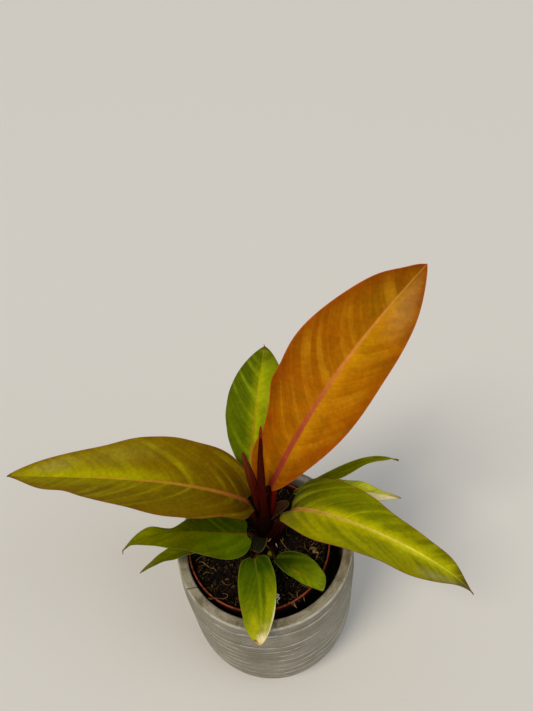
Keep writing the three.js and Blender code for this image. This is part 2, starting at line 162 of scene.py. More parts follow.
def buildStudio():
    material, tree = newMaterial("matt paper, which gives an even pale ground")
    grain = addNode(tree, "ShaderNodeTexNoise", {"Scale": 3.0, "Detail": 2.0})
    tone = addNode(tree, "ShaderNodeMix", {
        "Factor": grain, "A": linear(studio["floor"]), "B": linear(studio["floorClouds"])}, data_type="RGBA")
    shader = addNode(tree, "ShaderNodeBsdfPrincipled", {"Base Color": tone, "Roughness": 0.8})
    addNode(tree, "ShaderNodeOutputMaterial", {"Surface": shader})
    radius, sides = studio["floorRadius"], studio["floorSides"]
    ring = [(radius * math.cos(a), radius * math.sin(a), 0)
            for a in np.linspace(0, 2 * math.pi, sides, endpoint=False)]
    mesh = bpy.data.meshes.new("floor")
    mesh.from_pydata(ring, [], [list(range(sides))])
    mesh.materials.append(material)
    floor = bpy.data.objects.new("floor", mesh)
    scene.collection.objects.link(floor)
    world = bpy.data.worlds.new("studio")
    world.use_nodes = True
    sky = world.node_tree.nodes["Background"]
    sky.inputs["Color"].default_value = linear(studio["sky"])
    sky.inputs["Strength"].default_value = studio["skyStrength"]
    scene.world = world
    for lamp in studio["lamps"]:
        data = bpy.data.lights.new(lamp["name"], "SUN")
        data.angle = math.radians(lamp["spread"])
        data.energy = lamp["strength"]
        data.color = linear(lamp["colour"])[:3]
        light = bpy.data.objects.new(lamp["name"], data)
        light.rotation_euler = Vector(lamp["from"]).to_track_quat("Z", "Y").to_euler()
        scene.collection.objects.link(light)


buildStudio()
print("camera, floor and lights ready")


# Curves in mm
def bezier(points, u):
    a, b, c, d = (np.array(v, float) for v in points)
    u = np.asarray(u, float)[:, None]
    place = (1 - u) ** 3 * a + 3 * u * (1 - u) ** 2 * b + 3 * u * u * (1 - u) * c + u ** 3 * d
    speed = 3 * (1 - u) ** 2 * (b - a) + 6 * u * (1 - u) * (c - b) + 3 * u * u * (d - c)
    return place, speed / np.linalg.norm(speed, axis=1, keepdims=True)


def unit(v):
    return v / np.linalg.norm(v, axis=-1, keepdims=True)


def smooth(x):
    x = np.clip(x, 0, 1)
    return x * x * (3 - 2 * x)


# Round bodies along a path, with a section that may be pressed or rolled
def tube(path, radii, sides, section=None):
    path = np.asarray(path, float)
    along = unit(np.gradient(path, axis=0))
    normal = np.cross(along[0], [0.0, 1.0, 0.0])
    normal = unit(normal if np.linalg.norm(normal) > 0.1 else np.cross(along[0], [1.0, 0.0, 0.0]))
    angles = np.linspace(0, 2 * math.pi, sides, endpoint=False)
    rings = []
    for i, centre in enumerate(path):
        normal = unit(normal - along[i] * np.dot(normal, along[i]))
        binormal = np.cross(along[i], normal)
        stretch = section(i / (len(path) - 1), angles) if section else np.ones(sides)
        rings.append(centre + radii[i] * stretch[:, None]
                     * (np.cos(angles)[:, None] * normal + np.sin(angles)[:, None] * binormal))
    points = np.concatenate([*rings, path[:1], path[-1:]])
    count = len(path)
    faces = []
    for i in range(count - 1):
        for j in range(sides):
            k = (j + 1) % sides
            faces.append([i * sides + j, i * sides + k, (i + 1) * sides + k, (i + 1) * sides + j])
    for j in range(sides):
        k = (j + 1) % sides
        faces.append([count * sides, k, j])
        faces.append([count * sides + 1, (count - 1) * sides + j, (count - 1) * sides + k])
    share = np.repeat(np.linspace(0, 1, count), sides)
    return points, faces, {"along": np.concatenate([share, [0, 1]])}


# Faces of a thin sheet: a grid of points for its upper face, one for its lower, and a closed edge
def sheetFaces(rows, columns):
    upper = np.arange(rows * columns).reshape(rows, columns)
    lower = upper + rows * columns
    quads = [
        np.stack([upper[:-1, :-1], upper[:-1, 1:], upper[1:, 1:], upper[1:, :-1]], -1).reshape(-1, 4),
        np.stack([lower[:-1, :-1], lower[1:, :-1], lower[1:, 1:], lower[:-1, 1:]], -1).reshape(-1, 4),
        np.stack([lower[:-1, 0], upper[:-1, 0], upper[1:, 0], lower[1:, 0]], -1),
        np.stack([upper[:-1, -1], lower[:-1, -1], lower[1:, -1], upper[1:, -1]], -1),
        np.stack([upper[0, 1:], upper[0, :-1], lower[0, :-1], lower[0, 1:]], -1),
        np.stack([upper[-1, :-1], upper[-1, 1:], lower[-1, 1:], lower[-1, :-1]], -1),
    ]
    return np.concatenate(quads).tolist()


# Leaf blades: the midrib, the lean of the face about it, and each half's width and wave follow
# those of the solids. Colours run from base to tip, in each half. Sizes are in mm. A bulge is
# its place along the blade, its spread and its size; a patch is placed along and across.
blades = [
    {
        "name": "orange",
        "slot": "orange_leaf",
        "midrib": [[10, 10, 187], [31, 17, 256], [75, 27, 316], [112, 26, 362]],
        "roll": [30, 50],
        "left": {"width": 32, "base": 0.65, "tip": 0.7, "wave": 4, "phase": 0.1,
                 "lobe": 11,
                 "bulges": [[0.05, 0.04, 2], [0.12, 0.1, 3.2], [0.2, 0.07, -4.5], [0.35, 0.12, -2],
                            [0.37, 0.06, 3.2], [0.62, 0.12, 2], [0.95, 0.045, -1.6]]},
        "right": {"width": 32, "base": 0.85, "tip": 0.85, "wave": 1, "phase": 0.95,
                  "lobe": 4, "bulges": [[0.35, 0.12, 0.6], [0.62, 0.1, -1], [0.86, 0.08, 0.8]]},
        "waves": 2.2, "fold": 8, "ribShift": 3.2, "rows": 150, "columns": 26,
        "stalk": {"root": [3.2, 8, 121], "radius": [5.2, 3.4], "bow": 0.02,
                  "colours": ["240303", "4c0604", "6c0e0a"]},
        "look": {
            "left": ["bc6e00", "b06a00", "a86000", "985e00", "7c4e00"],
            "right": ["864600", "ac6400", "b46c00", "b47a00", "825808"],
            "glow": "cc8c08", "glowWidth": 16, "glowFrom": [0.0, 0.95], "glowSides": [0.15, 0.8],
            "streak": "cc8a14", "streakStrength": 0.55, "dark": "985200", "darkStrength": 0.4,
            "fineness": 0.75,
            "rib": ["963022", "b4562e", "dc903c", "d49c48"], "ribWidth": 2.7,
            "rim": "b4521c", "rimWidth": 0.8, "rimTint": "8c4400", "rimTintWidth": 14, "rimTintStrength": 0.7,
            "tip": "9a4010", "tipFrom": 0.985, "under": "a86a30", "gloss": 0.03,
            "patches": [
                # painted highlight: a pale waxy sheen right of the midrib, near the tip
                {"at": [0.86, 0.45], "size": [0.14, 0.55], "colour": "c08c48", "strength": 0.45, "soft": 1.1},
            ],
        },
    },
    {
        "name": "left",
        "slot": "olive_leaf",
        "midrib": [[-10, 10, 170], [-42, 13, 207], [-125, 27, 198], [-191, 31, 204]],
        "roll": [-1, 19],
        "left": {"width": 34, "base": 0.65, "tip": 1.0, "wave": 1.5, "phase": 0.95,
                 "lobe": 10.5, "blunt": 0.6, "round": 0.5,
                 "bulges": [[0.05, 0.04, 0.6], [0.16, 0.06, -2.5], [0.76, 0.06, -3.6], [0.86, 0.08, 2]]},
        "right": {"width": 41, "base": 0.6, "tip": 0.8, "wave": 1.5, "phase": 0.1,
                  "lobe": 4.5, "bulges": [[0.12, 0.1, 1.3], [0.62, 0.12, -0.8], [0.86, 0.08, 1]]},
        "waves": 2.2, "fold": 8, "ribShift": -2.2, "rows": 150, "columns": 26,
        "stalk": {"root": [-1, 8, 121], "radius": [5.0, 2.8], "bow": 0.1,
                  "colours": ["240806", "360c08", "6a2c18"]},
        "look": {
            "left": ["4e2e00", "725a00", "7a6600", "7c6a00", "928004"],
            "right": ["502e00", "745800", "826c00", "a08e06", "988408"],
            "glow": "aca600", "glowWidth": 16, "glowFrom": [0.3, 1.05], "glowSides": [0.3, 0.9],
            "streak": "a09408", "streakStrength": 0.6, "dark": "5c4c00", "darkStrength": 0.3,
            "fineness": 0.6,
            "rib": ["84481c", "b87e28", "bc9c0c", "bca404"], "ribWidth": 1.8,
            "rim": "8c4c1c", "rimWidth": 0.8, "rimTint": "6c4808", "rimTintWidth": 8, "rimTintStrength": 0.35,
            "tip": "6c2418", "tipFrom": 0.98, "under": "7a6a30", "gloss": 0.03,
            "patches": [
                {"at": [0.03, -0.8], "size": [0.08, 0.6], "colour": "442000", "strength": 0.65, "soft": 1.0},
                # painted highlights: pale waxy sheens on the upper half and near the tip
                {"at": [0.6, 0.62], "size": [0.2, 0.34], "colour": "8c7c34", "strength": 0.25, "soft": 1.1},
                {"at": [0.84, 0.5], "size": [0.1, 0.4], "colour": "a09444", "strength": 0.45, "soft": 1.1},
            ],
        },
    },
    {
        "name": "right",
        "slot": "lime_leaf",
        "midrib": [[23, 9, 150], [39, -1, 176], [129, -40, 153], [150, -61, 130]],
        "roll": [-5, -25],
        "left": {"width": 34, "base": 0.5, "tip": 1.15, "wave": 1.5, "phase": 0.5,
                 "lobe": 5, "bulges": [[0.12, 0.1, 3.5], [0.62, 0.12, -1.3], [0.86, 0.08, 3]]},
        "right": {"width": 29, "base": 0.75, "tip": 0.95, "wave": 2.5, "phase": 0.2,
                  "lobe": 7.5, "blunt": 0.5, "puff": 3.2,
                  "bulges": [[0, 0.05, 3], [0.35, 0.12, -1], [0.62, 0.12, 0.5], [0.86, 0.08, -2]]},
        "waves": 2.2, "fold": 8, "ribShift": -2.2,
        "drip": {"length": 0.8, "bend": [0.2, 0.3, -1.8]}, "rows": 150, "columns": 26,
        "stalk": {"root": [6, 5, 121], "radius": [5.5, 3.8], "bow": 0.2,
                  "colours": ["240a06", "34120a", "6a3c22"]},
        "look": {
            "left": ["484600", "6c7200", "848800", "848000", "54480a"],
            "right": ["6e6600", "9a9800", "9a9800", "868400", "5c4c10"],
            "glow": "c4c000", "glowWidth": 13, "glowFrom": [0.1, 0.98], "glowSides": [0.85, 0.8],
            "streak": "acae0c", "streakStrength": 0.6, "dark": "545c00", "darkStrength": 0.5,
            # the rib's brightest colour, near the tip, is partly a painted highlight
            "rib": ["8c5a20", "ccaa3c", "f8ec50", "c8b838"], "ribWidth": 2.5,
            "rim": "8c5a28", "rimWidth": 0.7, "rimTint": "7c7408", "rimTintWidth": 6, "rimTintStrength": 0.3,
            "tip": "7c3420", "tipFrom": 0.96, "under": "8a8c40", "gloss": 0.03,
            "patches": [
                # the first is partly yellow tissue beside the midrib and partly a painted highlight; the
                # second a painted sheen near the tip's margin
                {"at": [0.66, 0.05], "size": [0.2, 0.2], "colour": "e8e428", "strength": 0.55, "soft": 1.1},
                {"at": [0.78, 0.72], "size": [0.12, 0.3], "colour": "a8a058", "strength": 0.5, "soft": 1.0},
                {"at": [1.0, 0.0], "size": [0.15, 2.2], "colour": "503e06", "strength": 0.85, "soft": 0.9},
            ],
        },
    },
    {
        "name": "tall_green",
        "slot": "green_leaf",
        "midrib": [[-7, 40, 169], [1, 53, 202], [7, 68, 235], [16, 84, 263]],
        "roll": [-1, 10],
        "left": {"width": 23.6, "base": 0.8, "tip": 0.85, "wave": 0.5, "phase": 0,
                 "lobe": 3.5, "bulges": [[0.12, 0.1, 0.6]]},
        "right": {"width": 24.5, "base": 0.7, "tip": 0.65, "wave": 0.5, "phase": 0.75,
                  "lobe": 5, "bulges": [[0.84, 0.07, 0.6]]},
        "waves": 1.5, "fold": 12, "rows": 120, "columns": 24,
        "drip": {"length": 1.2, "bend": [-0.8, 0, 0.3]},
        "stalk": {"root": [0, 12, 121], "radius": [4.0, 2.1], "bow": 0.15,
                  "colours": ["240a06", "2c1408", "4c3a10"]},
        "look": {
            "left": ["5a6c00", "607000", "667600", "586800", "606a04"],
            "right": ["7a8c00", "809400", "8c9c00", "849400", "6a7406"],
            "glow": "b4bc00", "glowWidth": 9, "glowFrom": [0.05, 0.95], "glowSides": [0.4, 0.75],
            "streak": "98ac12", "streakStrength": 0.6, "dark": "425400", "darkStrength": 0.42,
            "rib": ["8c7c10", "a89414", "b8a818", "a8a010"], "ribWidth": 1.6,
            "rim": "5a5010", "rimWidth": 0.3, "rimTint": "4e5a04", "rimTintWidth": 4, "rimTintStrength": 0.3,
            "tip": "5a2418", "tipFrom": 0.965, "under": "6e7c30",
            "patches": [
                {"at": [0.62, 0.3], "size": [0.16, 0.35], "colour": "b4bc18", "strength": 0.5, "soft": 1.1},
            ],
        },
    },
    {
        "name": "lower_left",
        "slot": "green_leaf",
        "midrib": [[-14, 3, 133], [-36, -4, 146], [-81, 5, 165], [-116, 0, 132]],
        "roll": [-15, 38],
        "left": {"width": 23, "base": 0.6, "tip": 1.1, "wave": 1, "phase": 0.35,
                 "lobe": 4, "bulges": [[0.12, 0.1, 1.2], [0.45, 0.15, -0.8], [0.86, 0.08, 0.5]]},
        "right": {"width": 11.5, "base": 0.55, "tip": 0.8, "wave": 4, "phase": 0.45,
                  "lobe": 2,
                  "bulges": [[0.1, 0.14, 8.5], [0.62, 0.06, -2.2], [0.79, 0.08, 4.2], [0.93, 0.05, 1.2]]},
        "waves": 2, "fold": 6, "rows": 110, "columns": 20,
        "drip": {"length": 1.5, "bend": [0.3, -0.5, -4]},
        "form": {"veinSpacing": 7, "veinSlope": 1.0, "quilt": 0.09},
        "stalk": {"root": [-2, 5, 121], "radius": [3.2, 1.8], "bow": 0.06,
                  "colours": ["1a0805", "220e06", "3c2410"]},
        "look": {
            "left": ["566c00", "566a00", "606400", "808400", "8a860c"],
            "right": ["384600", "364400", "343c00", "808600", "747804"],
            "glow": "626a00", "glowWidth": 6, "glowFrom": [0.5, 1.0], "glowSides": [0.5, 0.4],
            "streak": "6a7408", "streakStrength": 0.35, "dark": "343c00", "darkStrength": 0.3,
            "rib": ["6a5c10", "5c5808", "5a5800", "687404"], "ribWidth": 1.0,
            "rim": "7a7430", "rimWidth": 0.45, "rimTint": "4c5804", "rimTintWidth": 3, "rimTintStrength": 0.3,
            "tip": "6a4030", "tipFrom": 0.95, "under": "5c6c18", "gloss": 0.0,
        },
    },
    {
        "name": "under_left",
        "slot": "green_leaf",
        "midrib": [[-27, -2, 129], [-52, -8, 140], [-77, -12, 144], [-101, -18, 127]],
        "roll": [38, 35],
        "left": {"width": 9.5, "base": 0.6, "tip": 0.75, "wave": 0.5, "phase": 0.35,
                 "lobe": 3, "bulges": []},
        "right": {"width": 15, "base": 0.65, "tip": 0.8, "wave": 0.5, "phase": 0.55,
                  "lobe": 3, "bulges": []},
        "waves": 2.5, "fold": 6, "rows": 90, "columns": 16,
        "stalk": {"root": [-3, 4, 120], "radius": [2.4, 1.4], "bow": 0.05,
                  "colours": ["1c0c06", "26140a", "3c3a12"]},
        "look": {
            "left": ["5e7402", "586602", "6c7200", "747804", "7c7430"],
            "right": ["4a5a02", "526002", "707800", "727604", "7c7430"],
            "glow": "626c00", "glowWidth": 4, "glowFrom": [0.1, 0.9], "glowSides": [0.4, 0.4],
            "streak": "6a7208", "streakStrength": 0.3, "dark": "3e4808", "darkStrength": 0.3,
            "rib": ["5c6006", "5c6406", "666a08", "7a7440"], "ribWidth": 0.7,
            "rim": "8a8440", "rimWidth": 0.4, "rimTint": "56700c", "rimTintWidth": 3, "rimTintStrength": 0.3,
            "tip": "8a5a40", "tipFrom": 0.94, "under": "5c6c18", "gloss": 0.0,
        },
    },
    {
        "name": "front",
        "slot": "green_leaf",
        "midrib": [[-9, -16, 127], [-7, -25, 132], [-6, -61, 141], [-8, -82, 131]],
        "roll": [2, 3],
        "left": {"width": 14, "base": 0.6, "tip": 0.7, "wave": 0.5, "phase": 0.9,
                 "lobe": 4.5, "bulges": [[0.1, 0.08, 1.6]]},
        "right": {"width": 15, "base": 0.5, "tip": 0.6, "wave": 0, "phase": 0.1,
                  "lobe": 4.5, "bulges": [[0.1, 0.08, 0.8], [0.86, 0.08, 1]]},
        "waves": 2.5, "fold": 6, "rows": 100, "columns": 20,
        "form": {"veinSpacing": 5, "veinSlope": 2.6, "veinCurl": 0.3, "quilt": 0.07, "ruffle": 0.15},
        "stalk": {"root": [1, 2, 120], "radius": [2.3, 1.4], "bow": 0.03,
                  "colours": ["1a0a06", "26100a", "4c2c14"]},
        "look": {
            "left": ["2e3e00", "325000", "7e8c00", "a0a606", "ccc070"],
            "right": ["324400", "425a00", "586c00", "808c00", "bcb41c"],
            "glow": "566600", "glowWidth": 5, "glowFrom": [0.2, 1.1], "glowSides": [0.35, 0.3],
            "streak": "747e04", "streakStrength": 0.2, "dark": "344600", "darkStrength": 0.22,
            "fineness": 0.4,
            "rib": ["5e640a", "566a06", "6a7c06", "8c9410"], "ribWidth": 0.8,
            "rim": "8e8c28", "rimWidth": 0.3, "rimTint": "868a1c", "rimTintWidth": 1.8,
            "rimTintStrength": 0.35,
            "tip": "d8bc6c", "tipFrom": 0.95, "under": "6c7c30",
            "patches": [
                {"at": [0.5, -0.28], "size": [0.44, 0.17], "colour": "3a5400", "strength": 0.75, "soft": 1.0},
                {"at": [0.82, 0.35], "size": [0.16, 0.5], "colour": "b4b20c", "strength": 0.6, "soft": 1.1},
                {"at": [1.0, -0.3], "size": [0.11, 0.85], "colour": "f4e0ac", "soft": 0.6},
                {"at": [0.86, -1.0], "size": [0.24, 0.17], "colour": "e8dcac", "soft": 0.7},
                {"at": [0.99, 0.75], "size": [0.04, 0.45], "colour": "5c140c"},
            ],
        },
    },
    {
        "name": "front_right",
        "slot": "green_leaf",
        "midrib": [[8, -18, 126], [18, -26, 131], [34, -38, 136], [41, -49, 132]],
        "roll": [-1, -4],
        "left": {"width": 13.5, "base": 0.55, "tip": 0.65, "wave": 0, "phase": 0.6,
                 "lobe": 2, "bulges": [[0.12, 0.1, 0.6], [0.86, 0.08, 1]]},
        "right": {"width": 7.5, "base": 0.75, "tip": 0.75, "wave": 0.5, "phase": 0.95,
                  "lobe": 3, "bulges": [[0.12, 0.1, -0.4], [0.62, 0.12, 0.4]]},
        "waves": 2.5, "fold": 6, "rows": 90, "columns": 18,
        "form": {"veinSpacing": 5, "veinSlope": 1.6, "quilt": 0.08, "ruffle": 0.12},
        "stalk": {"root": [4, 2, 120], "radius": [2.2, 1.3], "bow": 0.03,
                  "colours": ["1a0a06", "22100a", "342a10"]},
        "look": {
            "left": ["162200", "283c00", "506200", "76860a", "647408"],
            "right": ["182200", "344600", "6a7c00", "869600", "708010"],
            "glow": "748000", "glowWidth": 5, "glowFrom": [0.35, 0.95], "glowSides": [0.5, 0.5],
            "streak": "727c08", "streakStrength": 0.25, "dark": "243400", "darkStrength": 0.3,
            "fineness": 0.5,
            "rib": ["242e02", "424c00", "626c00", "6c7808"], "ribWidth": 0.6,
            "rim": "6e7c3c", "rimWidth": 0.35, "rimTint": "4c6408", "rimTintWidth": 2, "rimTintStrength": 0.3,
            "tip": "8c8c3c", "tipFrom": 0.95, "under": "5c7030",
            "patches": [
                {"at": [0.5, 0.3], "size": [0.16, 0.4], "colour": "84780c", "strength": 0.5, "soft": 1.0},
            ],
        },
    },
    {
        "name": "back_high", "form": {"veinSpacing": 6, "quilt": 0.05, "ruffle": 0.0},
        "slot": "green_leaf",
        "midrib": [[31, 35, 139], [64, 37, 152], [99, 52, 164], [123, 54, 141]],
        "roll": [-30, -40],
        "left": {"width": 8, "base": 0.6, "tip": 0.7, "wave": 0, "phase": 0.75,
                 "lobe": 4, "bulges": []},
        "right": {"width": 15.5, "base": 0.55, "tip": 0.75, "wave": 1, "phase": 0.8,
                  "lobe": 4, "bulges": []},
        "waves": 2.5, "fold": 8, "rows": 100, "columns": 18,
        "stalk": {"root": [7, 12, 121], "radius": [3.0, 1.6], "bow": 0.1,
                  "colours": ["1e0c06", "2a120a", "38340f"]},
        "look": {
            "left": ["5c5a00", "666a00", "787c00", "8c9000", "94822c"],
            "right": ["5c5a00", "6c7000", "7a8000", "949804", "94822c"],
            "glow": "6c6c00", "glowWidth": 4, "glowFrom": [0.3, 1.0], "glowSides": [0.4, 0.4],
            "streak": "6a6808", "streakStrength": 0.35, "dark": "403e00", "darkStrength": 0.3,
            "rib": ["54520a", "5c5a06", "6c6a00", "807c08"], "ribWidth": 0.9,
            "rim": "a09c28", "rimWidth": 0.5, "rimTint": "94960c", "rimTintWidth": 3, "rimTintStrength": 0.5,
            "tip": "a03020", "tipFrom": 0.9, "under": "6e7c10", "gloss": 0.0,
        },
    },
    {
        "name": "back_low", "form": {"veinSpacing": 6, "veinSlope": 1.4, "quilt": 0.07, "ruffle": 0.1},
        "slot": "green_leaf",
        "midrib": [[38, 29, 133], [65, 32, 152], [88, 24, 144], [118, 22, 133]],
        "roll": [-12, -25],
        "left": {"width": 12, "base": 0.55, "tip": 0.9, "wave": 1, "phase": 0.65,
                 "lobe": 4, "bulges": []},
        "right": {"width": 17, "base": 0.6, "tip": 0.8, "wave": 1, "phase": 0.95,
                  "lobe": 4, "bulges": []},
        "waves": 2.5, "fold": 8, "rows": 100, "columns": 18,
        "stalk": {"root": [8, 8, 121], "radius": [3.0, 1.6], "bow": 0.03,
                  "colours": ["1e0c06", "2a120a", "4c4414"]},
        "look": {
            "left": ["706c00", "989600", "dce02c", "d4d838", "b89c58"],
            "right": ["565600", "7c8000", "acb41c", "fcf09c", "b89058"],
            "glow": "96a420", "glowWidth": 4, "glowFrom": [0.1, 0.9], "glowSides": [0.4, 0.4],
            "streak": "98a828", "streakStrength": 0.35, "dark": "6c7c08", "darkStrength": 0.3,
            "rib": ["8a9418", "909a1c", "98a020", "9c9028"], "ribWidth": 0.9,
            "rim": "a89c50", "rimWidth": 0.5, "rimTint": "848e18", "rimTintWidth": 2.4,
            "rimTintStrength": 0.3,
            "tip": "8c5a30", "tipFrom": 0.95, "under": "8a9430", "gloss": 0.02,
            "patches": [{"at": [0.76, 0.7], "size": [0.24, 0.7], "colour": "fff0b4"}],
        },
    },
]
bladeForm = {
    "thickness": 0.5,        # at the rib; half of that at the margin
    "leastWidth": 0.25,      # of a half, at the tip
    "quilt": 0.13,           # height of the swelling between side veins
    "veinSpacing": 9.5,
    "veinSlope": 0.6,        # how far a side vein runs forward for each mm outwards
    "veinCurl": 0.95,        # and how much more of that near the margin
    "veinSway": 1.2,         # how unevenly they are spaced, and over what length
    "swayLength": 11,
    "ribRise": 0.35,
    "ruffle": 0.35,          # height of the small waves of the margin, and their number
    "ruffles": 5.3,
    "cornerLength": 0.07,    # share of the blade, and of its half, where a basal lobe is rounded off
    "cornerFrom": 0.45,
    "round": 0.3,            # share of the lobe that goes with its corner
    "blunt": 1.2,            # the lower, the fuller the lobe is beside the stalk
    "puff": 0,               # height to which the lobe swells, over this share of the blade
    "puffLength": 0.05,
    "dripRadius": 0.6,
    "dripSides": 8,
}


def formOf(blade):
    return {**bladeForm, **blade.get("form", {})}


def bladeFrame(blade, u):
    place, along = bezier(blade["midrib"], u)
    heading = np.subtract(blade["midrib"][3], blade["midrib"][0]).astype(float)
    heading[2] = 0
    level = np.cross(unit(heading), [0, 0, 1])
    face = unit(np.cross(level, along))
    across = np.cross(along, face)
    rollFrom, rollTo = blade["roll"]
    roll = np.radians(rollFrom + (rollTo - rollFrom) * u)[:, None]
    rolledFace = face * np.cos(roll) + across * np.sin(roll)
    rolledAcross = across * np.cos(roll) - face * np.sin(roll)
    return place, along, rolledFace, rolledAcross


def halfWidth(half, u):
    x = (u + 0.02) / 1.02
    widest = half["base"] / (half["base"] + half["tip"])
    peak = widest ** half["base"] * (1 - widest) ** half["tip"]
    width = half["width"] * x ** half["base"] * np.clip(1 - x, 0, 1) ** half["tip"] / peak
    for at, spread, more in half.get("bulges", []):
        width = width + more * np.exp(-((u - at) / spread) ** 2)
    return width


def buildBlade(blade):
    look, form = blade["look"], formOf(blade)
    left, right = blade["left"], blade["right"]
    t = np.linspace(0, 1, blade["rows"] + 1)
    u = 0.6 * t + 0.4 * (0.5 - 0.5 * np.cos(math.pi * t))    # the rows lie closer at both ends
    place, along, face, across = bladeFrame(blade, u)
    length = np.concatenate([[0], np.cumsum(np.linalg.norm(np.diff(place, axis=0), axis=1))])
    side = np.linspace(-1, 1, 2 * blade["columns"] + 1)
    side = np.sign(side) * np.abs(side) ** 1.6    # and the columns at the rib
    # far is 0 at the base and 1 at the tip, out is -1 at the left margin and 1 at the right one
    far, out = u[:, None], side[None, :]
    half = np.abs(out)

    def perHalf(key):
        return np.where(out > 0, right.get(key, form.get(key)), left.get(key, form.get(key)))

    reach = np.maximum(np.where(out > 0, halfWidth(right, far), halfWidth(left, far)), form["leastWidth"])
    fromRib = half * reach
    widest = max(left["width"], right["width"])
    vein = length[:, None] - form["veinSlope"] * fromRib - form["veinCurl"] * fromRib * fromRib / widest
    ribHalf = look["ribWidth"] * (0.1 + 0.9 * (1 - far) ** 1.15)
    # the corner of each basal lobe is drawn in, so that it is round
    corner = np.clip((half - form["cornerFrom"]) / (1 - form["cornerFrom"]), 0, 1)
    corner = np.clip(1 - far / form["cornerLength"], 0, 1) * corner
    lobeRound = perHalf("round") * perHalf("lobe") * corner ** 2
    back = perHalf("lobe") * smooth(half ** perHalf("blunt")) * (1 - far) ** 8 - lobeRound
    # the face is folded at the rib, waved, puffed at the lobes, ruffled, and quilted between side veins
    lift = fromRib * math.tan(math.radians(blade["fold"]))
    wave = np.sin(2 * math.pi * (blade["waves"] * far + perHalf("phase")))
    lift = lift + perHalf("wave") * wave * out ** 2 * np.sqrt(np.sin(math.pi * far).clip(0))
    lift = lift + perHalf("puff") * np.sin(math.pi * half) * np.exp(-((far / form["puffLength"]) ** 2))
    ruffle = np.sin(2 * math.pi * (form["ruffles"] * far + 1.7 * perHalf("phase")))
    lift = lift + form["ruffle"] * ruffle * half ** 4 * np.sin(math.pi * far)
    sway = form["veinSway"] * np.sin(vein / form["swayLength"])
    quilt = np.sin(2 * math.pi * vein / form["veinSpacing"] + sway)
    lift = lift + form["quilt"] * quilt * smooth((fromRib - ribHalf) / 3) * (1 - out ** 6) * smooth(far * 12)
    ribRise = form["ribRise"] * (1 - far) ** 0.7 * ribHalf / 2.6
    flank = np.exp(-((fromRib - 1.7 * ribHalf) / (0.6 * ribHalf)) ** 2)
    lift = lift + ribRise * (np.exp(-(fromRib / ribHalf) ** 4) - 0.6 * flank)
    # the rib runs a little to one side of the solid's middle line
    shift = blade.get("ribShift", 0) * np.sin(math.pi * far ** 0.6) * (1 - half)
    sideways = out * reach - np.sign(out) * 0.5 * lobeRound + shift
    upper = place[:, None] + across[:, None] * sideways[..., None]
    upper = upper - along[:, None] * back[..., None] + face[:, None] * lift[..., None]
    # below, the rib stands out as a keel as thick as the stalk
    keel = blade["stalk"]["radius"][1] * (0.1 + 0.9 * (1 - far) ** 1.3)
    depth = form["thickness"] * (1 - 0.5 * out ** 2)
    depth = depth + keel * np.sqrt(np.clip(1 - (fromRib / keel) ** 2, 0, 1))
    lower = upper - face[:, None] * depth[..., None]
    points = np.concatenate([upper.reshape(-1, 3), lower.reshape(-1, 3)])
    faces = sheetFaces(*upper.shape[:2])
    margin = np.minimum((1 - half) * reach, np.minimum(length[:, None] * 3 + 0.4, 40))
    numbers = {"along": far, "side": out, "rib": fromRib / ribHalf, "ribGap": fromRib, "margin": margin}
    numbers = {key: np.tile((values + 0 * fromRib).ravel(), 2) for key, values in numbers.items()}
    numbers["under"] = np.repeat([0.0, 1.0], fromRib.size)
    veins = np.stack([vein, fromRib, 30 * np.sign(out) + 0 * fromRib], -1).reshape(-1, 3)
    numbers["vein"] = np.concatenate([veins, veins])
    # drawn-out tip, which dries and curls down
    if "drip" in blade:
        drip = blade["drip"]
        t = np.linspace(0, 1, 10)
        path = place[-1] - along[-1] - face[-1] * 0.2 + along[-1] * ((drip["length"] + 1) * t[:, None])
        path = path + np.array(drip["bend"]) * t[:, None] ** 2
        dripPoints, dripFaces, _ = tube(path, form["dripRadius"] * (1 - 0.7 * t), form["dripSides"])
        faces += [[i + len(points) for i in corners] for corners in dripFaces]
        points = np.concatenate([points, dripPoints])
        plain = {"along": 1.0, "side": 0.0, "rib": 9.0, "ribGap": 40.0, "margin": 40.0, "under": 0.0}
        for key, value in plain.items():
            numbers[key] = np.concatenate([numbers[key], np.full(len(dripPoints), value)])
        numbers["vein"] = np.concatenate([numbers["vein"], np.zeros((len(dripPoints), 3))])
    return makePiece("leaf_" + blade["name"], points, faces, leafMaterial(blade),
                     ["blade_" + blade["name"]], numbers)


# Philodendron leaf, grown flat and waxy: a satin gloss, partly painted as pale sheen patches, over streaks
# that follow the side veins, a pale midrib and a thin coloured margin
leafSkin = {
    "places": (0.0, 0.25, 0.5, 0.78, 1.0),    # where the colours of a half lie along it
    "ribPlaces": (0.0, 0.35, 0.7, 1.0),
    "broad": (0.1, 0.014, 1.0),    # streaks some 10 mm wide, drawn out along the side veins
    "fine": (0.55, 0.03, 1.0),     # and of 2 mm
    "fineness": 0.8,
    "drift": 22.22,                # mm over which the streaks come and go
    "cloud": 12.5,                 # size in mm of the unevenness, and of the coarsest mottling
    "mottle": 3.03,
    "bump": (0.35, 0.4),
    "ior": 1.45,
    "gloss": 0.06,
    "soft": 0.35,                  # edge of a patch, and how much of it covers
    "strength": 0.95,
}


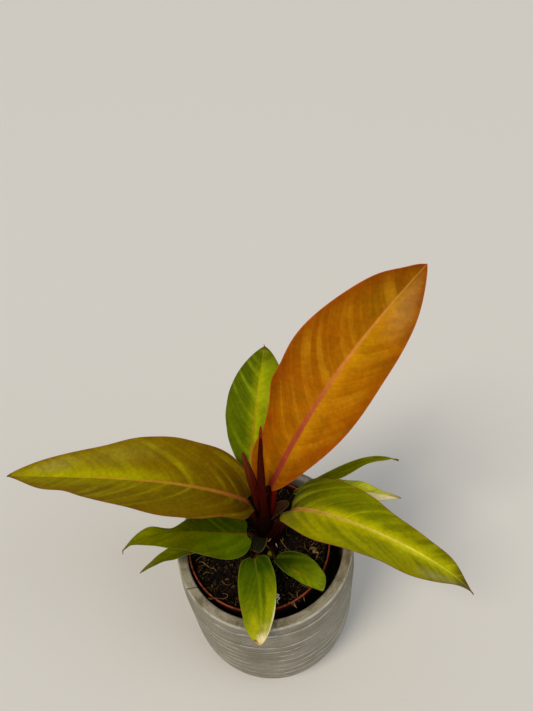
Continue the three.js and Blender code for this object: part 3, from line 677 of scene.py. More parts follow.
def leafMaterial(blade):
    look, form = blade["look"], formOf(blade)
    fineness = look.get("fineness", leafSkin["fineness"])
    material, tree = newMaterial("waxy leaf, " + blade["name"])
    read = {name: addNode(tree, "ShaderNodeAttribute", attribute_name=name).outputs["Fac"]
            for name in ("along", "side", "rib", "ribGap", "margin", "under")}
    vein = addNode(tree, "ShaderNodeAttribute", attribute_name="vein").outputs["Vector"]
    place = addNode(tree, "ShaderNodeTexCoord").outputs["Object"]
    isRight = addNode(tree, "ShaderNodeMath", {0: read["side"], 1: 0.0}, operation="GREATER_THAN")
    halves = [addNode(tree, "ShaderNodeValToRGB", {"Fac": read["along"]},
                      stops=list(zip(leafSkin["places"], look[half]))).outputs["Color"]
              for half in ("left", "right")]
    colour = addNode(tree, "ShaderNodeMix", {"Factor": isRight, "A": halves[0], "B": halves[1]},
                     data_type="RGBA")
    # streaks, which come and go, so that no two side veins look the same
    broadPlace = addNode(tree, "ShaderNodeVectorMath", {0: vein, 1: leafSkin["broad"]}, operation="MULTIPLY")
    broad = addNode(tree, "ShaderNodeTexNoise", {"Vector": broadPlace, "Scale": 1.0, "Detail": 1.0})
    finePlace = addNode(tree, "ShaderNodeVectorMath", {0: vein, 1: leafSkin["fine"]}, operation="MULTIPLY")
    fine = addNode(tree, "ShaderNodeTexNoise", {"Vector": finePlace, "Scale": 1.0, "Detail": 2.0})
    drift = addNode(tree, "ShaderNodeTexNoise", {
        "Vector": place, "Scale": patternScale(leafSkin["drift"]), "Detail": 3.0})
    patchy = addNode(tree, "ShaderNodeMapRange", {
        "Value": drift, "From Min": 0.36, "From Max": 0.62, "To Min": 0.25, "To Max": 1.0})
    bright = addNode(tree, "ShaderNodeMapRange", {
        "Value": broad, "From Min": 0.48, "From Max": 0.68, "To Max": look["streakStrength"]},
        interpolation_type="SMOOTHSTEP")
    bright = addNode(tree, "ShaderNodeMath", {0: bright, 1: patchy}, operation="MULTIPLY")
    dark = addNode(tree, "ShaderNodeMapRange", {
        "Value": broad, "From Min": 0.54, "From Max": 0.32, "To Max": look["darkStrength"]},
        interpolation_type="SMOOTHSTEP")
    # the side veins themselves, thin and a little paler, where the quilted surface is lowest
    forward = addNode(tree, "ShaderNodeSeparateXYZ", {0: vein}).outputs["X"]
    sway = addNode(tree, "ShaderNodeMath", {0: forward, 1: form["swayLength"]}, operation="DIVIDE")
    sway = addNode(tree, "ShaderNodeMath", {0: sway}, operation="SINE")
    sway = addNode(tree, "ShaderNodeMath", {0: sway, 1: form["veinSway"]}, operation="MULTIPLY")
    swing = addNode(tree, "ShaderNodeMath", {0: forward, 1: 2 * math.pi / form["veinSpacing"], 2: sway},
                    operation="MULTIPLY_ADD")
    swing = addNode(tree, "ShaderNodeMath", {0: swing}, operation="SINE")
    sideVein = addNode(tree, "ShaderNodeMapRange", {
        "Value": swing, "From Min": -0.8, "From Max": -1.0,
        "To Max": 0.4 * fineness * look["streakStrength"]},
        interpolation_type="SMOOTHSTEP")
    sideVein = addNode(tree, "ShaderNodeMath", {0: sideVein, 1: patchy}, operation="MULTIPLY")
    # lighter tissue beside the midrib
    near = addNode(tree, "ShaderNodeMapRange", {
        "Value": read["ribGap"], "From Max": look["glowWidth"], "To Min": 1.0, "To Max": 0.0},
        interpolation_type="SMOOTHERSTEP")
    start, end = look["glowFrom"]
    risen = addNode(tree, "ShaderNodeMapRange", {
        "Value": read["along"], "From Min": start, "From Max": start + 0.25}, interpolation_type="SMOOTHSTEP")
    fallen = addNode(tree, "ShaderNodeMapRange", {
        "Value": read["along"], "From Min": end - 0.2, "From Max": end, "To Min": 1.0, "To Max": 0.0},
        interpolation_type="SMOOTHSTEP")
    strength = addNode(tree, "ShaderNodeMapRange", {
        "Value": isRight, "To Min": look["glowSides"][0], "To Max": look["glowSides"][1]})
    broken = addNode(tree, "ShaderNodeMapRange", {
        "Value": fine, "From Min": 0.3, "From Max": 0.7, "To Min": 0.8, "To Max": 1.0})
    glow = near
    for share in (strength, risen, fallen, broken):
        glow = addNode(tree, "ShaderNodeMath", {0: glow, 1: share}, operation="MULTIPLY")
    tint = addNode(tree, "ShaderNodeMapRange", {
        "Value": read["margin"], "From Max": look["rimTintWidth"],
        "To Min": look["rimTintStrength"], "To Max": 0.0}, interpolation_type="SMOOTHSTEP")
    layers = [(bright, look["streak"]), (dark, look["dark"]), (sideVein, look["streak"]),
              (glow, look["glow"]), (tint, look["rimTint"])]
    # patches of another colour, with a ragged edge: some are the leaf's own colour, and some painted
    # highlights, a pale sheen
    spot = addNode(tree, "ShaderNodeCombineXYZ", {0: read["along"], 1: read["side"]})
    for patch in look.get("patches", []):
        away = addNode(tree, "ShaderNodeVectorMath", {0: spot, 1: (*patch["at"], 0)}, operation="SUBTRACT")
        away = addNode(tree, "ShaderNodeVectorMath", {0: away, 1: (*patch["size"], 1)}, operation="DIVIDE")
        away = addNode(tree, "ShaderNodeVectorMath", {0: away}, operation="LENGTH").outputs["Value"]
        ragged = addNode(tree, "ShaderNodeMath", {0: fine, 1: 0.9, 2: away}, operation="MULTIPLY_ADD")
        mask = addNode(tree, "ShaderNodeMapRange", {
            "Value": ragged, "From Min": 1.6 - patch.get("soft", leafSkin["soft"]), "From Max": 1.6,
            "To Min": patch.get("strength", leafSkin["strength"]), "To Max": 0.0},
            interpolation_type="SMOOTHSTEP")
        layers.append((mask, patch["colour"]))
    # a hard thin line at the margin, the tip, and the midrib band, with a fainter flank
    line = addNode(tree, "ShaderNodeMapRange", {
        "Value": read["margin"], "From Min": 0.4 * look["rimWidth"], "From Max": look["rimWidth"],
        "To Min": 0.9, "To Max": 0.0}, interpolation_type="SMOOTHSTEP")
    tip = addNode(tree, "ShaderNodeMapRange", {
        "Value": read["along"], "From Min": look["tipFrom"], "From Max": 1.0, "To Max": 0.95})
    core = addNode(tree, "ShaderNodeMapRange", {
        "Value": read["rib"], "From Min": 0.6, "From Max": 1.1, "To Min": 0.65, "To Max": 0.0},
        interpolation_type="SMOOTHSTEP")
    flank = addNode(tree, "ShaderNodeMapRange", {
        "Value": read["rib"], "From Min": 0.9, "From Max": 1.7, "To Min": 0.35, "To Max": 0.0},
        interpolation_type="SMOOTHSTEP")
    band = addNode(tree, "ShaderNodeMath", {0: core, 1: flank}, operation="ADD")
    fade = addNode(tree, "ShaderNodeMapRange", {
        "Value": read["along"], "From Min": 0.6, "From Max": 1.0, "To Min": 1.0, "To Max": 0.35})
    band = addNode(tree, "ShaderNodeMath", {0: band, 1: fade}, operation="MULTIPLY")
    ribColour = addNode(tree, "ShaderNodeValToRGB", {"Fac": read["along"]},
                        stops=list(zip(leafSkin["ribPlaces"], look["rib"]))).outputs["Color"]
    below = addNode(tree, "ShaderNodeMath", {0: read["under"], 1: 0.4}, operation="MULTIPLY")
    layers += [(line, look["rim"]), (tip, look["tip"]), (band, ribColour), (below, look["under"])]
    for mask, over in layers:
        over = linear(over) if isinstance(over, str) else over
        colour = addNode(tree, "ShaderNodeMix", {"Factor": mask, "A": colour, "B": over}, data_type="RGBA")
    # brighter and darker by clouds, mottling and fine lines
    cloud = addNode(tree, "ShaderNodeTexNoise", {
        "Vector": place, "Scale": patternScale(leafSkin["cloud"]), "Detail": 5.0})
    mottle = addNode(tree, "ShaderNodeTexNoise", {
        "Vector": place, "Scale": patternScale(leafSkin["mottle"]), "Detail": 4.0, "Roughness": 0.6})
    shades = [addNode(tree, "ShaderNodeMapRange", {
        "Value": noise, "From Min": 0.3, "From Max": 0.7, "To Min": 1 - spread, "To Max": 1 + spread})
        for noise, spread in ((cloud, 0.12), (mottle, 0.14), (fine, 0.08 * fineness))]
    value = addNode(tree, "ShaderNodeMath", {0: shades[0], 1: shades[1]}, operation="MULTIPLY")
    value = addNode(tree, "ShaderNodeMath", {0: value, 1: shades[2]}, operation="MULTIPLY")
    hue = addNode(tree, "ShaderNodeMapRange", {
        "Value": drift, "From Min": 0.3, "From Max": 0.7, "To Min": 0.495, "To Max": 0.504})
    colour = addNode(tree, "ShaderNodeHueSaturation", {"Color": colour, "Value": value, "Hue": hue})
    sheen = addNode(tree, "ShaderNodeMapRange", {
        "Value": cloud, "From Min": 0.3, "From Max": 0.7, "To Min": 0.38, "To Max": 0.54})
    height = addNode(tree, "ShaderNodeMath", {0: mottle, 1: 0.3, 2: cloud}, operation="MULTIPLY_ADD")
    addSurface(tree, {**leafSkin, **look}, colour, sheen, height)
    return material


for blade in blades:
    buildBlade(blade)
print("leaves built:", len(blades))


# Stalks and the trunk they grow from, with sizes in mm
stalkForm = {
    "sides": 32,
    "groove": 0.2,           # share of the radius, on the side that faces the crown
    "grooveAt": 0.7,         # angle about the stalk, in radians, and how soon the groove ends
    "grooveSpread": 0.3,
}


def grooveShare(angles):
    return np.exp(-((np.cos(angles - stalkForm["grooveAt"]) - 1) / stalkForm["grooveSpread"]) ** 2)


# Petiole skin, tight and waxy: dark red and glossy below, darkened as painted shade towards the foot in the
# crown, and the midrib's colour at its top
stalkSkin = {
    "places": (0.05, 0.6, 0.97),    # where the three colours lie along the stalk
    "lines": (1, 1, 16.67),         # 1 mm apart, and drawn out along the stalk
    "flecks": 3.03,                 # size of the flecks
    "roughness": 0.38,
    "bump": (0.4, 0.2),
    "ior": 1.45,
    "gloss": 0.05,
}


def stalkMaterial(name, colours, roughness=stalkSkin["roughness"]):
    material, tree = newMaterial("waxy stalk, " + name)
    along = addNode(tree, "ShaderNodeAttribute", attribute_name="along").outputs["Fac"]
    groove = addNode(tree, "ShaderNodeAttribute", attribute_name="groove").outputs["Fac"]
    place = addNode(tree, "ShaderNodeTexCoord").outputs["Object"]
    drawn = addNode(tree, "ShaderNodeMapping", {"Vector": place, "Scale": patternScale(stalkSkin["lines"])})
    lines = addNode(tree, "ShaderNodeTexNoise", {"Vector": drawn, "Scale": 1.0, "Detail": 3.0})
    flecks = addNode(tree, "ShaderNodeTexNoise", {
        "Vector": place, "Scale": patternScale(stalkSkin["flecks"]), "Detail": 4.0})
    ramp = addNode(tree, "ShaderNodeValToRGB", {"Fac": along}, stops=list(zip(stalkSkin["places"], colours)))
    lined = addNode(tree, "ShaderNodeMapRange", {
        "Value": lines, "From Min": 0.3, "From Max": 0.7, "To Min": 0.75, "To Max": 1.25})
    flecked = addNode(tree, "ShaderNodeMapRange", {
        "Value": flecks, "From Min": 0.3, "From Max": 0.7, "To Min": 0.85, "To Max": 1.15})
    value = addNode(tree, "ShaderNodeMath", {0: lined, 1: flecked}, operation="MULTIPLY")
    # painted shade in the groove, which is darker
    grooveShade = addNode(tree, "ShaderNodeMapRange", {"Value": groove, "To Min": 1.0, "To Max": 0.4})
    value = addNode(tree, "ShaderNodeMath", {0: value, 1: grooveShade}, operation="MULTIPLY")
    colour = addNode(tree, "ShaderNodeHueSaturation", {"Color": ramp.outputs["Color"], "Value": value})
    addSurface(tree, stalkSkin, colour, roughness, lines)
    return material


def buildStalk(blade):
    stalk = blade["stalk"]
    footRadius, headRadius = stalk["radius"]
    place, along, face, _ = bladeFrame(blade, np.array([0.0, 0.03, 0.07]))
    root = np.array(stalk["root"], float)
    head = place[0] - face[0] * headRadius * 0.85 - along[0] * 1.5
    way = head - root
    rise = np.array([0, 0, np.linalg.norm(way) * stalk["bow"]])
    t = np.linspace(0, 1, 40)
    body, _ = bezier([root, root + way * 0.33 + rise, root + way * 0.67 + rise * 0.6, head], t)
    # the end runs into the blade from below
    into = [place[1] - face[1] * headRadius * 0.75, place[2] - face[2] * headRadius * 0.45]
    path = np.concatenate([body, into])
    radii = footRadius + (headRadius - footRadius) * t ** 0.7
    radii = np.concatenate([radii, [headRadius * 0.75, headRadius * 0.3]])

    def grooved(share, angles):    # the groove comes in above the foot
        return 1 - stalkForm["groove"] * grooveShare(angles) * min(1, 3 * share)

    points, faces, numbers = tube(path, radii, stalkForm["sides"], grooved)
    around = np.linspace(0, 2 * math.pi, stalkForm["sides"], endpoint=False)
    numbers["groove"] = np.concatenate([np.tile(grooveShare(around), len(path)), [0, 0]])
    return makePiece("stalk_" + blade["name"], points, faces,
                     stalkMaterial(blade["name"], stalk["colours"]), ["stem"], numbers)


trunk = {
    "centre": [2.5, 7], "foot": 84, "top": 152, "radius": 8.2, "neckRadius": 5.6, "swell": 0.7,
    "firstScar": 20, "scarPitch": 7, "scars": 6, "scarsTo": 112,
    # colours near black: dark maroon, darkened further as painted shade in the crown
    "roughness": 0.6, "colours": ["0e0402", "120403", "180403"],
}


def buildTrunk():
    z = np.linspace(trunk["foot"], trunk["top"], 140)
    fromScar = z - trunk["foot"] - trunk["firstScar"]
    share = np.clip(fromScar / (trunk["scarPitch"] * trunk["scars"]), 0, 1)
    slim = trunk["radius"] - trunk["swell"]
    radii = slim + (trunk["neckRadius"] - trunk["radius"] + trunk["swell"]) * share
    scar = (fromScar / trunk["scarPitch"]) % 1
    # the scars show only below the soil; above it the bases of the stalks clasp the trunk
    buried = 1 - smooth((z - trunk["scarsTo"]) / 6)
    radii = radii + trunk["swell"] * np.exp(-((scar - 0.28) / 0.16) ** 2) * buried
    radii = radii * np.sqrt(np.clip((trunk["top"] - z) / 4, 0, 1))
    radii = radii * (0.6 + 0.4 * smooth((z - trunk["foot"]) / 6))
    path = np.stack([0 * z + trunk["centre"][0], 0 * z + trunk["centre"][1], z], 1)
    points, faces, numbers = tube(path, radii, stalkForm["sides"])
    material = stalkMaterial("trunk", trunk["colours"], trunk["roughness"])
    makePiece("trunk", points, faces, material, ["stem"], numbers)


for blade in blades:
    buildStalk(blade)
buildTrunk()
print("stalks and trunk built")


# Rolled leaf and sheaths in the crown
rolled = [
    {
        "name": "furled_leaf", "slot": "spear", "replaces": "furled_leaf",
        "path": [[3, 5, 132], [3, 5, 170], [3, 5.5, 205], [7, 6, 249]],
        "radius": [3.5, 3.1, 0.9], "turns": 0.7, "lap": 0.18, "press": 0.0,
        "colours": ["1a0202", "3c0704", "3c0604"],
    },
    {
        "name": "furled_tip", "slot": "spear", "replaces": "furled_leaf",
        "path": [[6.4, 7.6, 232], [6.8, 7.5, 242], [7.3, 7.3, 251], [8.2, 7, 260]],
        "radius": [1.2, 1.3, 0.5], "turns": 0.5, "lap": 0.2, "press": 0.1,
        "colours": ["6a1a10", "8a2a16", "7a2414"],
    },
    {
        "name": "sheath_left", "slot": "sheath", "replaces": "sheath_left",
        "path": [[0, 11, 136], [-1, 11.5, 165], [-4, 11, 200], [-7, 10, 231]],
        "radius": [3.0, 3.3, 0.9], "turns": 0.15, "lap": 0.25, "press": 0.12,
        "colours": ["1c0504", "561709", "6c301a"],
    },
    # near black: dark maroon, darkened further as painted shade deep in the crown
    {
        "name": "clasping_bases", "slot": "stalk", "replaces": "stem",
        "path": [[2.5, 7, 113], [2.5, 7, 127], [2.9, 6.2, 143], [3, 5.2, 160]],
        "radius": [8.9, 7.6, 3.3], "turns": 0.4, "lap": 0.2, "press": 0.07,
        "colours": ["070101", "0d0202", "1a0403"],
    },
    {
        "name": "petiole_right", "slot": "stalk", "replaces": "stem",
        "path": [[4, 4, 121], [6, 3, 139], [11, 8, 144], [22, 10, 142.5]],
        "radius": [7.2, 5.4, 3.0], "turns": 0.12, "lap": 0.14, "press": 0.16,
        "colours": ["120301", "260802", "4a1c0a"],
    },
]


rolledForm = {
    "rows": 120, "sides": 48,
    "middle": 0.62,          # share of its length from which the roll narrows to its tip
    "lapAt": 1.9,            # angle of the lap's edge at the foot, in radians
    "roughness": 0.42,
    "sharpAngle": 35,
}


def buildRolled(leaf):
    t = np.linspace(0, 1, rolledForm["rows"])
    middleAt = rolledForm["middle"]
    path, _ = bezier(leaf["path"], t)
    foot, middle, tip = leaf["radius"]
    body = foot + (middle - foot) * np.minimum(t * 1.6, 1)
    narrowing = np.clip((t - middleAt) / (1 - middleAt), 0, 1) ** 1.3
    radii = np.where(t < middleAt, body, body + (tip - body) * narrowing)
    radii = radii * np.sqrt(np.clip((1 - t) / 0.012, 0.02, 1))

    def lapped(share, angles):    # the outer margin laps over the roll and winds round it
        turn = ((angles - 2 * math.pi * leaf["turns"] * share - rolledForm["lapAt"]) / (2 * math.pi)) % 1
        return (1 - leaf["lap"] * turn ** 3) * (1 + leaf["press"] * np.cos(2 * angles))

    points, faces, numbers = tube(path, radii, rolledForm["sides"], lapped)
    material = stalkMaterial(leaf["name"], leaf["colours"], rolledForm["roughness"])
    makePiece(leaf["name"] + "_rolled", points, faces, material, [leaf["replaces"]], numbers,
              rolledForm["sharpAngle"])


for leaf in rolled:
    buildRolled(leaf)


# Open sheaths: a dry brown one and an olive one, ribbed lengthwise with a tan margin
scales = [
    {
        "name": "sheath_front", "slot": "olive_sheath",
        "midrib": [[-4, 6, 126], [-5, 1, 128], [-7, -5, 127], [-9, -9, 125]],
        "roll": [0, 0],
        "left": {"width": 8.5, "base": 0.4, "tip": 0.4},
        "right": {"width": 6, "base": 0.4, "tip": 0.4},
        "fold": 24, "ribs": 7, "skin": "151504", "ridge": "1d1d06", "rim": "5e4620",
    },
    {
        "name": "sheath_right", "slot": "sheath",
        "midrib": [[6, 7, 146], [10, 6.5, 157], [16, 7, 162], [23, 8, 165]],
        "roll": [10, 20],
        "left": {"width": 4.6, "base": 0.4, "tip": 0.45},
        "right": {"width": 4.6, "base": 0.4, "tip": 0.45},
        "fold": 24, "ribs": 5, "skin": "241008", "ridge": "3c2210", "rim": "3a3012",
    },
]


sheathForm = {
    "rows": 40,
    "columns": 33,
    "leastWidth": 0.3,
    "ribHeight": 0.12,
    "thickness": 0.5,
    "grain": 2,              # fibres of 2 mm and finer
    "bump": (0.5, 0.3),
    "ior": 1.45,
    "gloss": 0.08,
    "roughness": 0.5,
}


# Leaf sheath, dried from the edge inwards: papery, with raised fibres painted lighter as a painted highlight
def sheathMaterial(scale):
    material, tree = newMaterial("dry sheath, " + scale["name"])
    side = addNode(tree, "ShaderNodeAttribute", attribute_name="side").outputs["Fac"]
    margin = addNode(tree, "ShaderNodeAttribute", attribute_name="margin").outputs["Fac"]
    place = addNode(tree, "ShaderNodeTexCoord").outputs["Object"]
    swing = addNode(tree, "ShaderNodeMath", {0: side, 1: math.pi * scale["ribs"]}, operation="MULTIPLY")
    ridges = addNode(tree, "ShaderNodeMath", {0: swing}, operation="COSINE")
    grain = addNode(tree, "ShaderNodeTexNoise", {
        "Vector": place, "Scale": patternScale(sheathForm["grain"]), "Detail": 4.0})
    mixed = addNode(tree, "ShaderNodeMath", {0: ridges, 1: 0.25, 2: grain}, operation="MULTIPLY_ADD")
    ridgeHighlight = addNode(tree, "ShaderNodeMapRange", {"Value": mixed, "From Min": 0.35, "From Max": 0.8})
    edge = addNode(tree, "ShaderNodeMapRange", {
        "Value": margin, "From Min": 0.3, "From Max": 1.0, "To Min": 0.9, "To Max": 0.0})
    colour = linear(scale["skin"])
    # the ridge colour is a painted highlight on the raised fibres, the rim colour the dry margin
    for mask, over in ((ridgeHighlight, "ridge"), (edge, "rim")):
        colour = addNode(tree, "ShaderNodeMix", {"Factor": mask, "A": colour, "B": linear(scale[over])},
                         data_type="RGBA")
    addSurface(tree, sheathForm, colour, sheathForm["roughness"], mixed)
    return material


def buildScale(scale):
    u = np.linspace(0, 1, sheathForm["rows"])
    place, _, face, across = bladeFrame(scale, u)
    far, out = u[:, None], np.linspace(-1, 1, sheathForm["columns"])[None, :]
    reach = np.where(out > 0, halfWidth(scale["right"], far), halfWidth(scale["left"], far))
    reach = np.maximum(reach, sheathForm["leastWidth"])
    ribbed = sheathForm["ribHeight"] * np.cos(math.pi * scale["ribs"] * out)
    lift = np.abs(out) * reach * math.tan(math.radians(scale["fold"])) + ribbed
    upper = place[:, None] + across[:, None] * (out * reach)[..., None] + face[:, None] * lift[..., None]
    lower = upper - face[:, None] * sheathForm["thickness"]
    points = np.concatenate([upper.reshape(-1, 3), lower.reshape(-1, 3)])
    margin = np.minimum((1 - np.abs(out)) * reach, (1 - far) * 12)
    numbers = {"side": np.tile((out + 0 * reach).ravel(), 2), "margin": np.tile(margin.ravel(), 2)}
    makePiece(scale["name"] + "_open", points, sheetFaces(*upper.shape[:2]),
              sheathMaterial(scale), [scale["name"]], numbers)


for scale in scales:
    buildScale(scale)

bud = {
    "place": [4, -9.6], "foot": 116.1, "radius": 3.4, "height": 6.8, "scales": 7,
    "widestAt": 0.35, "reachBelow": 0.42, "reachAbove": 0.66,    # as shares of its height
    "colours": ["30280a", "4c480a", "625e0c"],
}


def buildBud():
    t = np.linspace(0, 1, 40)
    path = np.stack([0 * t + bud["place"][0], 0 * t + bud["place"][1], bud["foot"] + bud["height"] * t], 1)
    reach = np.where(t < bud["widestAt"], bud["reachBelow"], bud["reachAbove"])
    radii = bud["radius"] * np.sqrt(np.clip(1 - (np.abs(t - bud["widestAt"]) / reach) ** 2, 0.001, 1))
    points, faces, numbers = tube(path, radii, 28, lambda share, a: 1 + 0.04 * np.cos(bud["scales"] * a))
    material = stalkMaterial("bud", bud["colours"])
    makePiece("bud_scales", points, faces, material, ["bud"], numbers)


buildBud()
print("crown built")


# Cover pot, turned to the solids' profile, then scored by a node tree
coverPot = {
    "height": 128, "rimRadius": 71.8, "boreRadius": 64, "bellyRadius": 73.4, "bellyHeight": 100,
    "waistRadius": 72.5, "waistHeight": 45, "footRadius": 52, "footRoundness": 2.2,
    "floorThickness": 15, "boreFootRadius": 50, "bandHeight": 11, "edgeRadius": 1.6,
    "boreStraightTo": 40, "boreTurn": [59, 22], "rowPitch": 0.55, "sides": 300, "sharpAngle": 60,
    "firstRing": 98, "ringCount": 8, "ringPitch": 9.6, "ringDepth": 0.6, "ringWidth": 1.8, "ringWander": 9,
}


def lathe(profile, sides, centre=(0, 0)):
    profile = np.asarray(profile, float)
    angles = np.linspace(0, 2 * math.pi, sides, endpoint=False)
    inner = profile[1:-1]    # the first and the last point lie on the axis
    rings = np.stack([inner[:, :1] * np.cos(angles), inner[:, :1] * np.sin(angles),
                      np.repeat(inner[:, 1:], sides, 1)], -1)
    rings = rings + np.array([centre[0], centre[1], 0])
    ends = [[centre[0], centre[1], profile[0, 1]], [centre[0], centre[1], profile[-1, 1]]]
    points = np.concatenate([rings.reshape(-1, 3), ends])
    grid = np.arange(len(inner) * sides).reshape(len(inner), sides)
    turned = np.roll(grid, -1, 1)
    quads = np.stack([grid[:-1], turned[:-1], turned[1:], grid[1:]], -1).reshape(-1, 4).tolist()
    count = len(inner) * sides
    quads += [[count, b, a] for a, b in zip(grid[0], turned[0])]
    quads += [[count + 1, a, b] for a, b in zip(grid[-1], turned[-1])]
    return points, [[int(v) for v in q] for q in quads]


def potRadius(z):
    p = coverPot
    fall = np.clip(1 - z / p["waistHeight"], 0, 1) ** p["footRoundness"]
    low = p["footRadius"] + (p["waistRadius"] - p["footRadius"]) * (1 - fall) ** (1 / p["footRoundness"])
    rise = (z - p["waistHeight"]) / (p["bellyHeight"] - p["waistHeight"])
    middle = p["waistRadius"] + (p["bellyRadius"] - p["waistRadius"]) * rise
    shoulder = np.clip((z - p["bellyHeight"]) / (p["height"] - p["bandHeight"] - p["bellyHeight"]), 0, 1)
    high = p["bellyRadius"] - (p["bellyRadius"] - p["rimRadius"]) * shoulder ** 2
    return np.where(z < p["waistHeight"], low, np.where(z < p["bellyHeight"], middle, high))


def potProfile():
    p = coverPot
    profile = [[0, 0], [p["footRadius"] - 6, 0], [p["footRadius"] - 1, 0]]
    lowRows = [0.3, 0.8, 1.5, 2.4]    # closer together where the foot turns up
    for z in np.concatenate([lowRows, np.arange(3.5, p["height"] - p["edgeRadius"], p["rowPitch"])]):
        profile.append([float(potRadius(z)), z])
    for corner, turnFrom in ((p["rimRadius"], 0), (p["boreRadius"], 90)):
        centre = corner - p["edgeRadius"] if turnFrom == 0 else corner + p["edgeRadius"]
        for a in np.radians(np.linspace(turnFrom, turnFrom + 90, 8)):
            profile.append([centre + p["edgeRadius"] * math.cos(a),
                            p["height"] - p["edgeRadius"] + p["edgeRadius"] * math.sin(a)])
        if turnFrom == 0:
            profile += [[r, p["height"]] for r in np.linspace(centre - 0.6, p["boreRadius"] + 2.2, 5)]
    profile += [[p["boreRadius"], z] for z in np.linspace(p["height"] - 4, p["boreStraightTo"], 20)]
    profile.append(p["boreTurn"])
    profile += [[r, p["floorThickness"]] for r in (p["boreFootRadius"], 20, 0)]
    return profile


def applyTree(piece, tree, values):
    modifier = piece.modifiers.new(tree.name, "NODES")
    modifier.node_group = tree
    for item in tree.interface.items_tree:
        if item.item_type == "SOCKET" and item.in_out == "INPUT" and item.name in values:
            modifier[item.identifier] = values[item.name]
    graph = bpy.context.evaluated_depsgraph_get()
    mesh = bpy.data.meshes.new_from_object(
        piece.evaluated_get(graph), preserve_all_data_layers=True, depsgraph=graph)
    piece.modifiers.clear()
    old, piece.data = piece.data, mesh
    bpy.data.meshes.remove(old)
    mesh.name = piece.name


def newTree(name, sockets):
    tree = bpy.data.node_groups.new(name, "GeometryNodeTree")
    tree.interface.new_socket("Geometry", in_out="INPUT", socket_type="NodeSocketGeometry")
    tree.interface.new_socket("Geometry", in_out="OUTPUT", socket_type="NodeSocketGeometry")
    for socket, kind in sockets.items():
        tree.interface.new_socket(socket, in_out="INPUT", socket_type="NodeSocket" + kind)
    tree.is_modifier = True
    entry = tree.nodes.new("NodeGroupInput")
    return tree, {s.name: s for s in entry.outputs}


